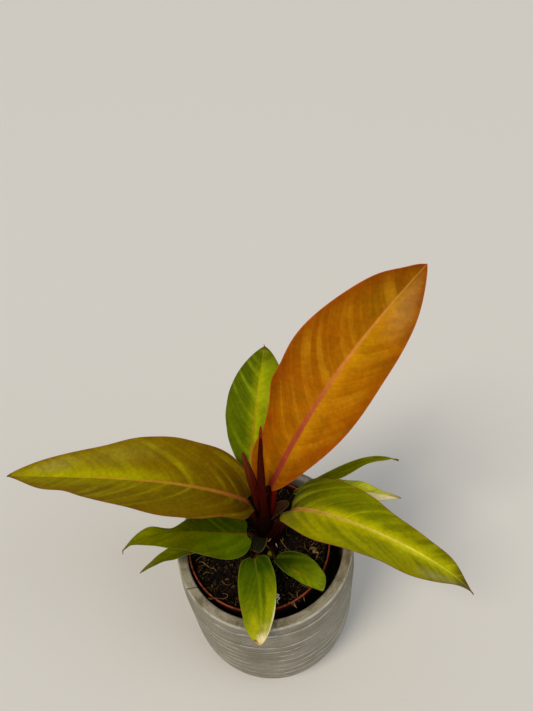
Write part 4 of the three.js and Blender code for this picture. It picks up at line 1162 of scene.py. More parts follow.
# Scored rings: each wanders a little in height, and its depth comes and goes round the pot
def scoringTree():
    names = ("First", "Pitch", "Count", "Depth", "Half width", "Wander", "Band")
    tree, given = newTree("scored rings", {name: "Float" for name in names})
    place = addNode(tree, "GeometryNodeInputPosition")
    split = addNode(tree, "ShaderNodeSeparateXYZ", {0: place})
    low = addNode(tree, "ShaderNodeVectorMath", {0: place, 1: (1.0, 1.0, 0.35)}, operation="MULTIPLY")
    drift = addNode(tree, "ShaderNodeTexNoise", {"Vector": low, "Scale": 22.0, "Detail": 2.0})    # 45 mm
    centred = addNode(tree, "ShaderNodeMath", {0: drift, 1: 0.5}, operation="SUBTRACT")
    moved = addNode(tree, "ShaderNodeMath", {0: centred, 1: given["Wander"], 2: split.outputs["Z"]},
                    operation="MULTIPLY_ADD")
    fromFirst = addNode(tree, "ShaderNodeMath", {0: given["First"], 1: moved}, operation="SUBTRACT")
    share = addNode(tree, "ShaderNodeMath", {0: fromFirst, 1: given["Pitch"]}, operation="DIVIDE")
    nearest = addNode(tree, "ShaderNodeMath", {0: share}, operation="ROUND")
    last = addNode(tree, "ShaderNodeMath", {0: given["Count"], 1: 1.0}, operation="SUBTRACT")
    kept = addNode(tree, "ShaderNodeClamp", {"Value": nearest, "Min": 0.0, "Max": last})
    ringAt = addNode(tree, "ShaderNodeMath", {0: kept, 1: given["Pitch"]}, operation="MULTIPLY")
    # how far below its nearest ring, or the foot of the band, a point lies
    gap = addNode(tree, "ShaderNodeMath", {0: fromFirst, 1: ringAt}, operation="SUBTRACT")
    gapSize = addNode(tree, "ShaderNodeMath", {0: gap}, operation="ABSOLUTE")
    bandGap = addNode(tree, "ShaderNodeMath", {0: given["Band"], 1: moved}, operation="SUBTRACT")
    bandSize = addNode(tree, "ShaderNodeMath", {0: bandGap}, operation="ABSOLUTE")
    nearBand = addNode(tree, "ShaderNodeMath", {0: bandSize, 1: gapSize}, operation="LESS_THAN")
    change = addNode(tree, "ShaderNodeMath", {0: bandGap, 1: gap}, operation="SUBTRACT")
    below = addNode(tree, "ShaderNodeMath", {0: nearBand, 1: change, 2: gap}, operation="MULTIPLY_ADD")
    belowMm = addNode(tree, "ShaderNodeMath", {0: below, 1: 1000.0}, operation="MULTIPLY")
    size = addNode(tree, "ShaderNodeMath", {0: below}, operation="ABSOLUTE")
    groove = addNode(tree, "ShaderNodeMapRange", {
        "Value": size, "From Min": 0.0, "From Max": given["Half width"], "To Min": 1.0, "To Max": 0.0},
        interpolation_type="SMOOTHERSTEP")
    fading = addNode(tree, "ShaderNodeTexNoise", {"Vector": place, "Scale": 38.0, "Detail": 3.0})    # 26 mm
    fading = addNode(tree, "ShaderNodeMapRange", {
        "Value": fading, "From Min": 0.38, "From Max": 0.58, "To Min": 0.2, "To Max": 1.0})
    groove = addNode(tree, "ShaderNodeMath", {0: groove, 1: fading}, operation="MULTIPLY")
    # only the outer wall is scored, not the bore
    flat = addNode(tree, "ShaderNodeVectorMath", {0: place, 1: (1.0, 1.0, 0.0)}, operation="MULTIPLY")
    away = addNode(tree, "ShaderNodeVectorMath", {0: flat}, operation="NORMALIZE")
    facing = addNode(tree, "ShaderNodeVectorMath", {0: addNode(tree, "GeometryNodeInputNormal"), 1: away},
                     operation="DOT_PRODUCT").outputs["Value"]
    outer = addNode(tree, "ShaderNodeMapRange", {"Value": facing, "From Min": 0.3, "From Max": 0.7})
    groove = addNode(tree, "ShaderNodeMath", {0: groove, 1: outer}, operation="MULTIPLY")
    inward = addNode(tree, "ShaderNodeMath", {0: groove, 1: given["Depth"]}, operation="MULTIPLY")
    inward = addNode(tree, "ShaderNodeMath", {0: inward, 1: -1.0}, operation="MULTIPLY")
    # trowel unevenness of up to 0.3 mm in and out, over some 18 mm
    lumps = addNode(tree, "ShaderNodeTexNoise", {"Vector": low, "Scale": 55.0, "Detail": 3.0})
    lumps = addNode(tree, "ShaderNodeMapRange", {"Value": lumps, "To Min": -0.0003, "To Max": 0.0003})
    lumps = addNode(tree, "ShaderNodeMath", {0: lumps, 1: outer}, operation="MULTIPLY")
    inward = addNode(tree, "ShaderNodeMath", {0: inward, 1: lumps}, operation="ADD")
    offset = addNode(tree, "ShaderNodeVectorMath", {0: away, "Scale": inward}, operation="SCALE")
    strength = addNode(tree, "ShaderNodeMath", {0: fading, 1: outer}, operation="MULTIPLY")
    stored = given["Geometry"]
    for name, number in (("below", belowMm), ("scored", strength)):
        stored = addNode(tree, "GeometryNodeStoreNamedAttribute", {
            "Geometry": stored, "Name": name, "Value": number}, domain="POINT", data_type="FLOAT")
    pushed = addNode(tree, "GeometryNodeSetPosition", {"Geometry": stored, "Offset": offset})
    addNode(tree, "NodeGroupOutput", {"Geometry": pushed})
    return tree


# Cast concrete, wiped while wet: matt grey, finely lined round the pot; each scored ring has painted shade
# along its upper edge and a painted highlight along its lower one. Places and sizes are in mm.
concrete = {
    "tones": [(0.3, "7a7565"), (0.5, "8a8577"), (0.7, "9a9586")],
    "clouds": 33.33,                   # lighter and darker patches
    "wiped": (62.5, 62.5, 1.25),       # lines round the pot, 1.25 mm apart and finer
    "scratches": (90.9, 90.9, 1),      # and the pale short ones
    "grain": 1.111,                    # sand of 1 mm and finer
    "holes": 3.846,                    # between air holes of up to 1 mm
    "breaks": (8.333, 8.333, 4.167),   # in the painted highlights of the rings and of the rim's edge
    "smears": 13.33,                   # of soil on the rim's top
    "scrapes": 1.111,                  # one from the next, across the rim
    "bump": (0.5, 0.5), "roughness": 0.88, "ior": 1.5, "gloss": 0.2,
    # the shade colour is painted shade above each scored ring, and the pale one after it a painted highlight
    # below it
    "scratch": "b8b3a4", "shade": "4e4a40", "ringHighlight": "c8c4b8", "pit": "4c483e",
    "rimTop": (126.4, 127.6),          # heights between which the look of the rim's top comes in
    "rimWarm": "a89e80", "smear": "564a2c", "scrape": "5c5646",
    # painted highlight along the rim's rounded outer edge: its heights, radii and pale colour
    "edgeHighlightHeight": (125.6, 126.4), "edgeHighlightRadius": (70.4, 71.0), "edgeHighlight": "c2beb0",
    "crackAt": (-60, -34.5, 128), "crackAcross": (-0.16, 0.987, 0.0), "crack": "38342c",
    "crackHalf": (0.2, 0.6), "crackReach": (9, 13),    # hard core and soft end of either
}


def concreteMaterial():
    material, tree = newMaterial("cast concrete")
    below = addNode(tree, "ShaderNodeAttribute", attribute_name="below").outputs["Fac"]
    scored = addNode(tree, "ShaderNodeAttribute", attribute_name="scored").outputs["Fac"]
    place = addNode(tree, "ShaderNodeTexCoord").outputs["Object"]
    clouds = addNode(tree, "ShaderNodeTexNoise", {
        "Vector": place, "Scale": patternScale(concrete["clouds"]), "Detail": 5.0, "Roughness": 0.6})
    tone = addNode(tree, "ShaderNodeValToRGB", {"Fac": clouds}, stops=concrete["tones"])
    drawn = addNode(tree, "ShaderNodeMapping", {"Vector": place, "Scale": patternScale(concrete["wiped"])})
    wiped = addNode(tree, "ShaderNodeTexNoise", {
        "Vector": drawn, "Scale": 1.0, "Detail": 4.0, "Roughness": 0.65})
    lines = addNode(tree, "ShaderNodeMapRange", {
        "Value": wiped, "From Min": 0.34, "From Max": 0.66, "To Min": 0.8, "To Max": 1.19})
    grain = addNode(tree, "ShaderNodeTexNoise", {
        "Vector": place, "Scale": patternScale(concrete["grain"]), "Detail": 4.0, "Roughness": 0.65})
    sand = addNode(tree, "ShaderNodeMapRange", {
        "Value": grain, "From Min": 0.3, "From Max": 0.7, "To Min": 0.8, "To Max": 1.2})
    value = addNode(tree, "ShaderNodeMath", {0: lines, 1: sand}, operation="MULTIPLY")
    colour = addNode(tree, "ShaderNodeHueSaturation", {"Color": tone.outputs["Color"], "Value": value})
    # fine scratches between the rings, pale and short
    long = addNode(tree, "ShaderNodeMapping", {"Vector": place, "Scale": patternScale(concrete["scratches"])})
    scratch = addNode(tree, "ShaderNodeTexNoise", {"Vector": long, "Scale": 1.0, "Detail": 2.0})
    scratch = addNode(tree, "ShaderNodeMapRange", {
        "Value": scratch, "From Min": 0.57, "From Max": 0.71, "To Max": 0.42})
    # painted shade about 1 mm above the middle of a ring, and a painted highlight 0.8 mm below it
    upper = addNode(tree, "ShaderNodeMath", {0: below, 1: 1.0}, operation="ADD")
    upper = addNode(tree, "ShaderNodeMath", {0: upper}, operation="ABSOLUTE")
    shade = addNode(tree, "ShaderNodeMapRange", {
        "Value": upper, "From Min": 0.5, "From Max": 1.4, "To Min": 0.5, "To Max": 0.0},
        interpolation_type="SMOOTHSTEP")
    shade = addNode(tree, "ShaderNodeMath", {0: shade, 1: scored}, operation="MULTIPLY")
    lower = addNode(tree, "ShaderNodeMath", {0: below, 1: 0.8}, operation="SUBTRACT")
    lower = addNode(tree, "ShaderNodeMath", {0: lower}, operation="ABSOLUTE")
    ringHighlight = addNode(tree, "ShaderNodeMapRange", {
        "Value": lower, "From Min": 0.3, "From Max": 0.95, "To Min": 0.58, "To Max": 0.0},
        interpolation_type="SMOOTHSTEP")
    broken = addNode(tree, "ShaderNodeMapping", {"Vector": place, "Scale": patternScale(concrete["breaks"])})
    broken = addNode(tree, "ShaderNodeTexNoise", {"Vector": broken, "Scale": 1.0, "Detail": 4.0})
    broken = addNode(tree, "ShaderNodeMapRange", {
        "Value": broken, "From Min": 0.4, "From Max": 0.56, "To Min": 0.3, "To Max": 1.0})
    ringHighlight = addNode(tree, "ShaderNodeMath", {0: ringHighlight, 1: scored}, operation="MULTIPLY")
    ringHighlight = addNode(tree, "ShaderNodeMath", {0: ringHighlight, 1: broken}, operation="MULTIPLY")
    # air holes, in some of the clouds
    holes = addNode(tree, "ShaderNodeTexVoronoi", {"Vector": place, "Scale": patternScale(concrete["holes"])})
    pits = addNode(tree, "ShaderNodeMapRange", {
        "Value": holes.outputs["Distance"], "From Min": 0.06, "From Max": 0.12, "To Min": 0.5, "To Max": 0.0})
    rare = addNode(tree, "ShaderNodeMapRange", {"Value": clouds, "From Min": 0.5, "From Max": 0.62})
    pits = addNode(tree, "ShaderNodeMath", {0: pits, 1: rare}, operation="MULTIPLY")
    # the rim's top, warmer, smeared with soil and scraped round
    height = addNode(tree, "ShaderNodeSeparateXYZ", {0: place}).outputs["Z"]
    rimFrom, rimTo = (z * mm for z in concrete["rimTop"])
    top = addNode(tree, "ShaderNodeMapRange", {"Value": height, "From Min": rimFrom, "From Max": rimTo})
    warm = addNode(tree, "ShaderNodeMath", {0: top, 1: 0.45}, operation="MULTIPLY")
    smear = addNode(tree, "ShaderNodeTexNoise", {
        "Vector": place, "Scale": patternScale(concrete["smears"]), "Detail": 6.0, "Roughness": 0.7})
    smear = addNode(tree, "ShaderNodeMapRange", {
        "Value": smear, "From Min": 0.44, "From Max": 0.62, "To Max": 0.7})
    smear = addNode(tree, "ShaderNodeMath", {0: smear, 1: top}, operation="MULTIPLY")
    flat = addNode(tree, "ShaderNodeVectorMath", {0: place, 1: (1.0, 1.0, 0.0)}, operation="MULTIPLY")
    radius = addNode(tree, "ShaderNodeVectorMath", {0: flat}, operation="LENGTH").outputs["Value"]
    away = addNode(tree, "ShaderNodeVectorMath", {0: flat}, operation="NORMALIZE")
    about = addNode(tree, "ShaderNodeVectorMath", {0: away, "Scale": 3.0}, operation="SCALE")
    outwards = addNode(tree, "ShaderNodeMath", {0: radius, 1: patternScale(concrete["scrapes"])},
                       operation="MULTIPLY")
    outwards = addNode(tree, "ShaderNodeCombineXYZ", {2: outwards})
    turned = addNode(tree, "ShaderNodeVectorMath", {0: about, 1: outwards}, operation="ADD")
    scrape = addNode(tree, "ShaderNodeTexNoise", {"Vector": turned, "Scale": 1.0, "Detail": 3.0})
    scrape = addNode(tree, "ShaderNodeMapRange", {
        "Value": scrape, "From Min": 0.56, "From Max": 0.7, "To Max": 0.7})
    scrape = addNode(tree, "ShaderNodeMath", {0: scrape, 1: top}, operation="MULTIPLY")
    # painted highlight: the outer, rounded edge of the rim is painted pale where it catches the light
    highlightFrom, highlightTo = (r * mm for r in concrete["edgeHighlightRadius"])
    highFrom, highTo = (z * mm for z in concrete["edgeHighlightHeight"])
    edge = addNode(tree, "ShaderNodeMapRange", {"Value": radius, "From Min": highlightFrom, "From Max": highlightTo})
    high = addNode(tree, "ShaderNodeMapRange", {"Value": height, "From Min": highFrom, "From Max": highTo})
    edgeHighlight = addNode(tree, "ShaderNodeMath", {0: edge, 1: high}, operation="MULTIPLY")
    edgeHighlight = addNode(tree, "ShaderNodeMath", {0: edgeHighlight, 1: broken}, operation="MULTIPLY")
    edgeHighlight = addNode(tree, "ShaderNodeMath", {0: edgeHighlight, 1: 0.7}, operation="MULTIPLY")
    # hairline crack across the rim, which wanders by up to 3 mm to either side
    crackAt = tuple(v * mm for v in concrete["crackAt"])
    core, end = (v * mm for v in concrete["crackHalf"])
    nearFrom, nearTo = (v * mm for v in concrete["crackReach"])
    fromCrack = addNode(tree, "ShaderNodeVectorMath", {0: place, 1: crackAt}, operation="SUBTRACT")
    reach = addNode(tree, "ShaderNodeVectorMath", {0: fromCrack}, operation="LENGTH").outputs["Value"]
    across = addNode(tree, "ShaderNodeVectorMath", {0: fromCrack, 1: concrete["crackAcross"]},
                     operation="DOT_PRODUCT").outputs["Value"]
    wander = addNode(tree, "ShaderNodeMath", {0: clouds, 1: 0.006, 2: -0.003}, operation="MULTIPLY_ADD")
    across = addNode(tree, "ShaderNodeMath", {0: across, 1: wander}, operation="ADD")
    across = addNode(tree, "ShaderNodeMath", {0: across}, operation="ABSOLUTE")
    crack = addNode(tree, "ShaderNodeMapRange", {
        "Value": across, "From Min": core, "From Max": end, "To Min": 0.8, "To Max": 0.0})
    near = addNode(tree, "ShaderNodeMapRange", {
        "Value": reach, "From Min": nearFrom, "From Max": nearTo, "To Min": 1.0, "To Max": 0.0})
    crack = addNode(tree, "ShaderNodeMath", {0: crack, 1: near}, operation="MULTIPLY")
    layers = {"scratch": scratch, "shade": shade, "ringHighlight": ringHighlight, "pit": pits, "rimWarm": warm,
              "smear": smear, "scrape": scrape, "edgeHighlight": edgeHighlight, "crack": crack}
    for name, mask in layers.items():
        colour = addNode(tree, "ShaderNodeMix", {"Factor": mask, "A": colour, "B": linear(concrete[name])},
                         data_type="RGBA")
    relief = addNode(tree, "ShaderNodeMath", {0: wiped, 1: 0.8, 2: grain}, operation="MULTIPLY_ADD")
    for sunk in (pits, crack):
        relief = addNode(tree, "ShaderNodeMath", {0: relief, 1: sunk}, operation="SUBTRACT")
    addSurface(tree, concrete, colour, concrete["roughness"], relief)
    return material


def buildCoverPot():
    points, faces = lathe(potProfile(), coverPot["sides"])
    mesh = bpy.data.meshes.new("cover_pot")
    mesh.from_pydata((points * mm).tolist(), [], faces)
    mesh.shade_smooth()
    piece = bpy.data.objects.new("cover_pot", mesh)
    scene.collection.objects.link(piece)
    applyTree(piece, scoringTree(), {
        "First": coverPot["firstRing"] * mm, "Pitch": coverPot["ringPitch"] * mm,
        "Count": float(coverPot["ringCount"]), "Depth": coverPot["ringDepth"] * mm,
        "Half width": coverPot["ringWidth"] / 2 * mm, "Wander": coverPot["ringWander"] * mm,
        "Band": (coverPot["height"] - coverPot["bandHeight"]) * mm,
    })
    piece.data.materials.clear()
    piece.data.materials.append(concreteMaterial())
    piece.data.set_sharp_from_angle(angle=math.radians(coverPot["sharpAngle"]))
    finishPiece(piece, ["outer_pot"])


buildCoverPot()
print("cover pot built")


# Thin plastic pot
innerPot = {
    "centre": [-4.7, 2.0], "top": 125, "rimRadius": 58.5, "rimHeight": 9, "rimStep": 1.6, "edge": 0.5,
    "footEdge": 1.5, "footRadius": 43, "wall": 1.2, "drainHoles": 6, "drainRadius": 3.5, "drainCircle": 28,
    "foot": 15.3, "sides": 160,
}


def innerWall(z):
    p = innerPot
    rise = (z - p["foot"]) / (p["top"] - p["rimHeight"] - p["foot"])
    return p["footRadius"] + (p["rimRadius"] - p["rimStep"] - p["footRadius"]) * np.clip(rise, 0, 1)


# Polypropylene, injection moulded: terracotta, lit on the lip, with painted shade that darkens the wall below
# it towards black, and patches of mud
plastic = {
    "tones": [(0.0, "220b05"), (0.45, "44150a"), (0.72, "702a12"), (0.86, "964420")],
    "tonesFrom": 121,        # heights of the darkest painted shade and of the unshaded tone
    "tonesTo": 126.8,
    "mud": "2a140a",
    "soiling": 6.25,         # size of its patches
    "bump": (0.2, 0.2),
    "ior": 1.49,
    "gloss": 0.25,
}


def plasticMaterial():
    material, tree = newMaterial("moulded polypropylene")
    place = addNode(tree, "ShaderNodeTexCoord").outputs["Object"]
    soiling = addNode(tree, "ShaderNodeTexNoise", {
        "Vector": place, "Scale": patternScale(plastic["soiling"]), "Detail": 6.0, "Roughness": 0.7})
    height = addNode(tree, "ShaderNodeSeparateXYZ", {0: place}).outputs["Z"]
    uneven = addNode(tree, "ShaderNodeMath", {0: soiling, 1: 0.003, 2: height}, operation="MULTIPLY_ADD")
    # painted shade: the tone runs from the lit lip down to near black, with an uneven edge
    outOfShade = addNode(tree, "ShaderNodeMapRange", {
        "Value": uneven, "From Min": plastic["tonesFrom"] * mm, "From Max": plastic["tonesTo"] * mm})
    tone = addNode(tree, "ShaderNodeValToRGB", {"Fac": outOfShade}, stops=plastic["tones"])
    mud = addNode(tree, "ShaderNodeMapRange", {
        "Value": soiling, "From Min": 0.49, "From Max": 0.62, "To Max": 0.85})
    colour = addNode(tree, "ShaderNodeMix", {
        "Factor": mud, "A": tone.outputs["Color"], "B": linear(plastic["mud"])}, data_type="RGBA")
    rough = addNode(tree, "ShaderNodeMapRange", {"Value": soiling, "To Min": 0.3, "To Max": 0.6})
    addSurface(tree, plastic, colour, rough, soiling)
    return material


def buildInnerPot():
    p = innerPot
    step = p["top"] - p["rimHeight"]
    half = p["wall"] / 2
    lip = [[p["rimRadius"] - half + half * math.cos(a), p["top"] - half + half * math.sin(a)]
           for a in np.linspace(0, math.pi, 9)]
    profile = [
        [0, p["foot"]], [p["footRadius"] - p["footEdge"], p["foot"]],
        *[[float(innerWall(z)), z] for z in np.linspace(p["foot"] + p["footEdge"], step, 12)],
        [p["rimRadius"] - 0.3, step + 0.2], [p["rimRadius"], step + p["edge"]],
        [p["rimRadius"], p["top"] - 2],
        *lip,
        [p["rimRadius"] - p["wall"], p["top"] - 2],
        [p["rimRadius"] - p["wall"], step + p["edge"] + p["wall"]],
        *[[float(innerWall(z)) - p["wall"], z] for z in np.linspace(step, p["foot"] + p["wall"], 12)],
        [0, p["foot"] + p["wall"]],
    ]
    points, faces = lathe(profile, p["sides"], p["centre"])
    piece = makePiece("thin_pot", points, faces, plasticMaterial(), ["nursery_pot"])
    for i in range(p["drainHoles"]):
        angle = 2 * math.pi * i / p["drainHoles"]
        bpy.ops.mesh.primitive_cylinder_add(
            vertices=32, radius=p["drainRadius"] * mm, depth=0.01,
            location=((p["centre"][0] + p["drainCircle"] * math.cos(angle)) * mm,
                      (p["centre"][1] + p["drainCircle"] * math.sin(angle)) * mm, p["foot"] * mm))
        drill = bpy.context.object
        cut = piece.modifiers.new("hole", "BOOLEAN")
        cut.object = drill
        cut.operation = "DIFFERENCE"
        graph = bpy.context.evaluated_depsgraph_get()
        mesh = bpy.data.meshes.new_from_object(piece.evaluated_get(graph))
        piece.modifiers.clear()
        piece.data = mesh
        bpy.data.objects.remove(drill)


buildInnerPot()
print("thin pot built")


# Potting soil: a lumpy body, with crumbs, chips, fibres and roots strewn over it. Every kind of bit
# has its density for each square metre, its smallest and largest size in metres, and its shape:
# how the bit is drawn out, and how far and at what scale it is knocked out of true.
soil = {
    "height": 114.5, "mound": 2, "moundSpread": 22, "ripple": 0.9, "clearance": 0.3, "bank": 4.5,
    "bankSpread": 4.5, "bitsFrom": 111, "sides": 120, "rings": 60,
    "grain": 2.381, "bump": (0.8, 0.8), "ior": 1.5, "gloss": 0.12,    # the finish of every bit too
    "lumps": ((9.0, 0.55), (5.2, 0.4), (3.1, 0.3), (2.2, 0.2)),    # wavelength and height of each wave
    "tones": [(0.4, "040201"), (0.6, "0e0804"), (0.72, "20130a")], "roughness": 0.75,
}
soilBits = [
    {"name": "soil_crumbs", "material": "peat crumbs", "roughness": 0.7, "own": 0.8,
     "tones": [(0.3, "050302"), (0.62, "110a05"), (0.84, "28180c"), (0.95, "604426")],
     "values": {"Density": 800000.0, "Smallest": 0.0003, "Largest": 0.0014, "Seed": 4},
     "shape": {"rounds": 1, "stretch": (1.0, 0.7, 0.6), "knock": 0.0012, "knockScale": 1400.0}},
    {"name": "soil_chips", "material": "shredded bark", "roughness": 0.65, "own": 0.8,
     "tones": [(0.3, "0e0904"), (0.66, "281a0c"), (0.86, "54401f"), (0.96, "86703f")],
     "values": {"Density": 42000.0, "Smallest": 0.0007, "Largest": 0.0026, "Seed": 11},
     "shape": {"rounds": 2, "stretch": (1.0, 0.42, 0.22), "knock": 0.0015, "knockScale": 900.0}},
    {"name": "soil_fibres", "material": "dry root fibre", "roughness": 0.7, "own": 0.85,
     "tones": [(0.4, "181007"), (0.7, "3e2e12"), (0.94, "927a40")],
     "values": {"Density": 32000.0, "Smallest": 0.003, "Largest": 0.011, "Seed": 7},
     "shape": {"bend": (0.05, 0.5, 0.35), "thick": 0.017, "stretch": (1.0, 1.0, 1.0),
               "knock": 0.005, "knockScale": 160.0}},
    {"name": "soil_pale_bits", "material": "dry grit", "roughness": 0.8, "own": 0.7,
     "tones": [(0.3, "6a5a40"), (0.8, "b0a486")],
     "values": {"Density": 2600.0, "Smallest": 0.0004, "Largest": 0.0010, "Seed": 23},
     "shape": {"rounds": 1, "stretch": (1.0, 0.6, 0.5), "knock": 0.0012, "knockScale": 900.0}},
]


def soilHeight(x, y):
    fromTrunk = np.hypot(x - trunk["centre"][0], y - trunk["centre"][1])
    ripple = np.sin(x * 0.21 + 1.3) * np.cos(y * 0.24 - 0.6) + 0.5 * np.sin(x * 0.11 - y * 0.37)
    mound = soil["mound"] * np.exp(-((fromTrunk / soil["moundSpread"]) ** 2))
    return soil["height"] + mound + soil["ripple"] * ripple


# Peat and bark, damp: almost black, some bits brown and some straw-coloured. The share of the tone
# that a bit has of its own is the same all over it; the rest goes by lumps.
def soilMaterial(name, tones, roughness, own=0.0):
    material, tree = newMaterial(name)
    place = addNode(tree, "ShaderNodeTexCoord").outputs["Object"]
    bit = addNode(tree, "ShaderNodeAttribute", attribute_name="bit").outputs["Fac"]
    lumps = addNode(tree, "ShaderNodeTexNoise", {
        "Vector": place, "Scale": patternScale(soil["grain"]), "Detail": 6.0, "Roughness": 0.7})
    share = addNode(tree, "ShaderNodeMath", {0: lumps, 1: 1.0 - own}, operation="MULTIPLY")
    share = addNode(tree, "ShaderNodeMath", {0: bit, 1: own, 2: share}, operation="MULTIPLY_ADD")
    tone = addNode(tree, "ShaderNodeValToRGB", {"Fac": share}, stops=tones).outputs["Color"]
    wet = addNode(tree, "ShaderNodeMapRange", {
        "Value": lumps, "From Min": 0.3, "From Max": 0.7,
        "To Min": roughness - 0.2, "To Max": roughness + 0.15})
    addSurface(tree, soil, tone, wet, lumps)
    return material


def buildSoil():
    p = innerPot
    edge = float(p["rimRadius"] - p["rimStep"] - p["wall"] - soil["clearance"])
    radii = np.linspace(0, edge, soil["rings"] + 1)[1:][::-1]
    foot = p["foot"] + p["wall"] + soil["clearance"]
    wall = [[float(innerWall(z)) - p["wall"] - soil["clearance"], z]
            for z in np.linspace(foot, soil["height"] - 4, 14)]
    profile = [[0, foot], *wall, *[[r, soil["height"]] for r in radii], [0, soil["height"]]]
    points, faces = lathe(profile, soil["sides"], p["centre"])
    top = points[:, 2] >= soil["height"] - 0.01
    x, y = points[top, 0], points[top, 1]
    rough = np.zeros(len(x))
    for i, (wavelength, height) in enumerate(soil["lumps"]):
        k = 2 * math.pi / wavelength
        one = np.sin(k * (x * math.cos(i * 1.9) + y * math.sin(i * 1.9)) + i)
        other = np.sin(k * (y * math.cos(i * 2.3) - x * math.sin(i * 2.3)) + 2 * i)
        rough += height * one * other
    # banked up a little against the side of the pot
    inside = edge - np.hypot(x - p["centre"][0], y - p["centre"][1])
    bank = soil["bank"] * np.exp(-(inside / soil["bankSpread"]) ** 2)
    points[top, 2] = soilHeight(x, y) + rough + bank
    material = soilMaterial("damp peat", soil["tones"], soil["roughness"])
    return makePiece("soil_body", points, faces, material, ["soil"])


# Strews one small shape over what faces up: each is turned, sized and toned at random, then knocked
# out of true by noise
def strewTree(name, material, shape):
    tree, given = newTree(name, {"Density": "Float", "Smallest": "Float", "Largest": "Float", "Seed": "Int"})
    normal = addNode(tree, "ShaderNodeSeparateXYZ", {0: addNode(tree, "GeometryNodeInputNormal")})
    height = addNode(tree, "ShaderNodeSeparateXYZ", {0: addNode(tree, "GeometryNodeInputPosition")})
    flat = addNode(tree, "ShaderNodeMath", {0: normal.outputs["Z"], 1: 0.3}, operation="GREATER_THAN")
    high = addNode(tree, "ShaderNodeMath", {0: height.outputs["Z"], 1: soil["bitsFrom"] * mm},
                   operation="GREATER_THAN")
    chosen = addNode(tree, "ShaderNodeMath", {0: flat, 1: high}, operation="MULTIPLY")
    spots = addNode(tree, "GeometryNodeDistributePointsOnFaces", {
        "Mesh": given["Geometry"], "Selection": chosen, "Density": given["Density"], "Seed": given["Seed"]})
    if "bend" in shape:
        strand = addNode(tree, "GeometryNodeCurveQuadraticBezier", {
            "Resolution": 7, "Start": (-0.5, 0.0, 0.0), "Middle": shape["bend"], "End": (0.5, -0.1, 0.05)})
        ring = addNode(tree, "GeometryNodeCurvePrimitiveCircle", {"Resolution": 4, "Radius": shape["thick"]})
        single = addNode(tree, "GeometryNodeCurveToMesh", {
            "Curve": strand, "Profile Curve": ring, "Fill Caps": True})
        lifted = addNode(tree, "GeometryNodeSetPosition", {
            "Geometry": spots.outputs["Points"], "Offset": (0.0, 0.0, 0.0012)})
        turnFrom, turnTo = (-0.45, -0.45, 0.0), (0.45, 0.45, 6.28)
    else:
        single = addNode(tree, "GeometryNodeMeshIcoSphere", {"Radius": 1.0, "Subdivisions": shape["rounds"]})
        lifted = spots
        turnFrom, turnTo = (0.0, 0.0, 0.0), (6.28, 6.28, 6.28)
    size = addNode(tree, "FunctionNodeRandomValue", {
        "Min": given["Smallest"], "Max": given["Largest"], "Seed": given["Seed"]}, data_type="FLOAT")
    turn = addNode(tree, "FunctionNodeRandomValue", {
        "Min": turnFrom, "Max": turnTo, "Seed": given["Seed"]}, data_type="FLOAT_VECTOR")
    scaled = addNode(tree, "ShaderNodeVectorMath", {0: shape["stretch"], "Scale": size}, operation="SCALE")
    placed = addNode(tree, "GeometryNodeInstanceOnPoints", {
        "Points": lifted, "Instance": single, "Rotation": turn, "Scale": scaled})
    tone = addNode(tree, "FunctionNodeRandomValue", {"Seed": given["Seed"]}, data_type="FLOAT")
    toned = addNode(tree, "GeometryNodeStoreNamedAttribute", {
        "Geometry": placed, "Name": "bit", "Value": tone}, domain="INSTANCE", data_type="FLOAT")
    real = addNode(tree, "GeometryNodeRealizeInstances", {"Geometry": toned})
    place = addNode(tree, "GeometryNodeInputPosition")
    rough = addNode(tree, "ShaderNodeTexNoise", {
        "Vector": place, "Scale": shape["knockScale"], "Detail": 1.0})
    centred = addNode(tree, "ShaderNodeVectorMath", {0: rough.outputs["Color"], 1: (0.5, 0.5, 0.5)},
                      operation="SUBTRACT")
    knock = addNode(tree, "ShaderNodeVectorMath", {0: centred, "Scale": shape["knock"]}, operation="SCALE")
    shaken = addNode(tree, "GeometryNodeSetPosition", {"Geometry": real, "Offset": knock})
    coated = addNode(tree, "GeometryNodeSetMaterial", {"Geometry": shaken, "Material": material})
    addNode(tree, "NodeGroupOutput", {"Geometry": coated})
    return tree


def strew(bits, base):
    piece = bpy.data.objects.new(bits["name"], base.data.copy())
    scene.collection.objects.link(piece)
    material = soilMaterial(bits["material"], bits["tones"], bits["roughness"], bits["own"])
    applyTree(piece, strewTree(bits["name"], material, bits["shape"]), bits["values"])
    kept = [m for m in piece.data.materials if m][-1]
    piece.data.materials.clear()
    piece.data.materials.append(kept)
    piece.data.polygons.foreach_set("material_index", [0] * len(piece.data.polygons))
    finishPiece(piece)
    print(bits["name"], "faces:", len(piece.data.polygons))


soilBody = buildSoil()
for bits in soilBits:
    strew(bits, soilBody)

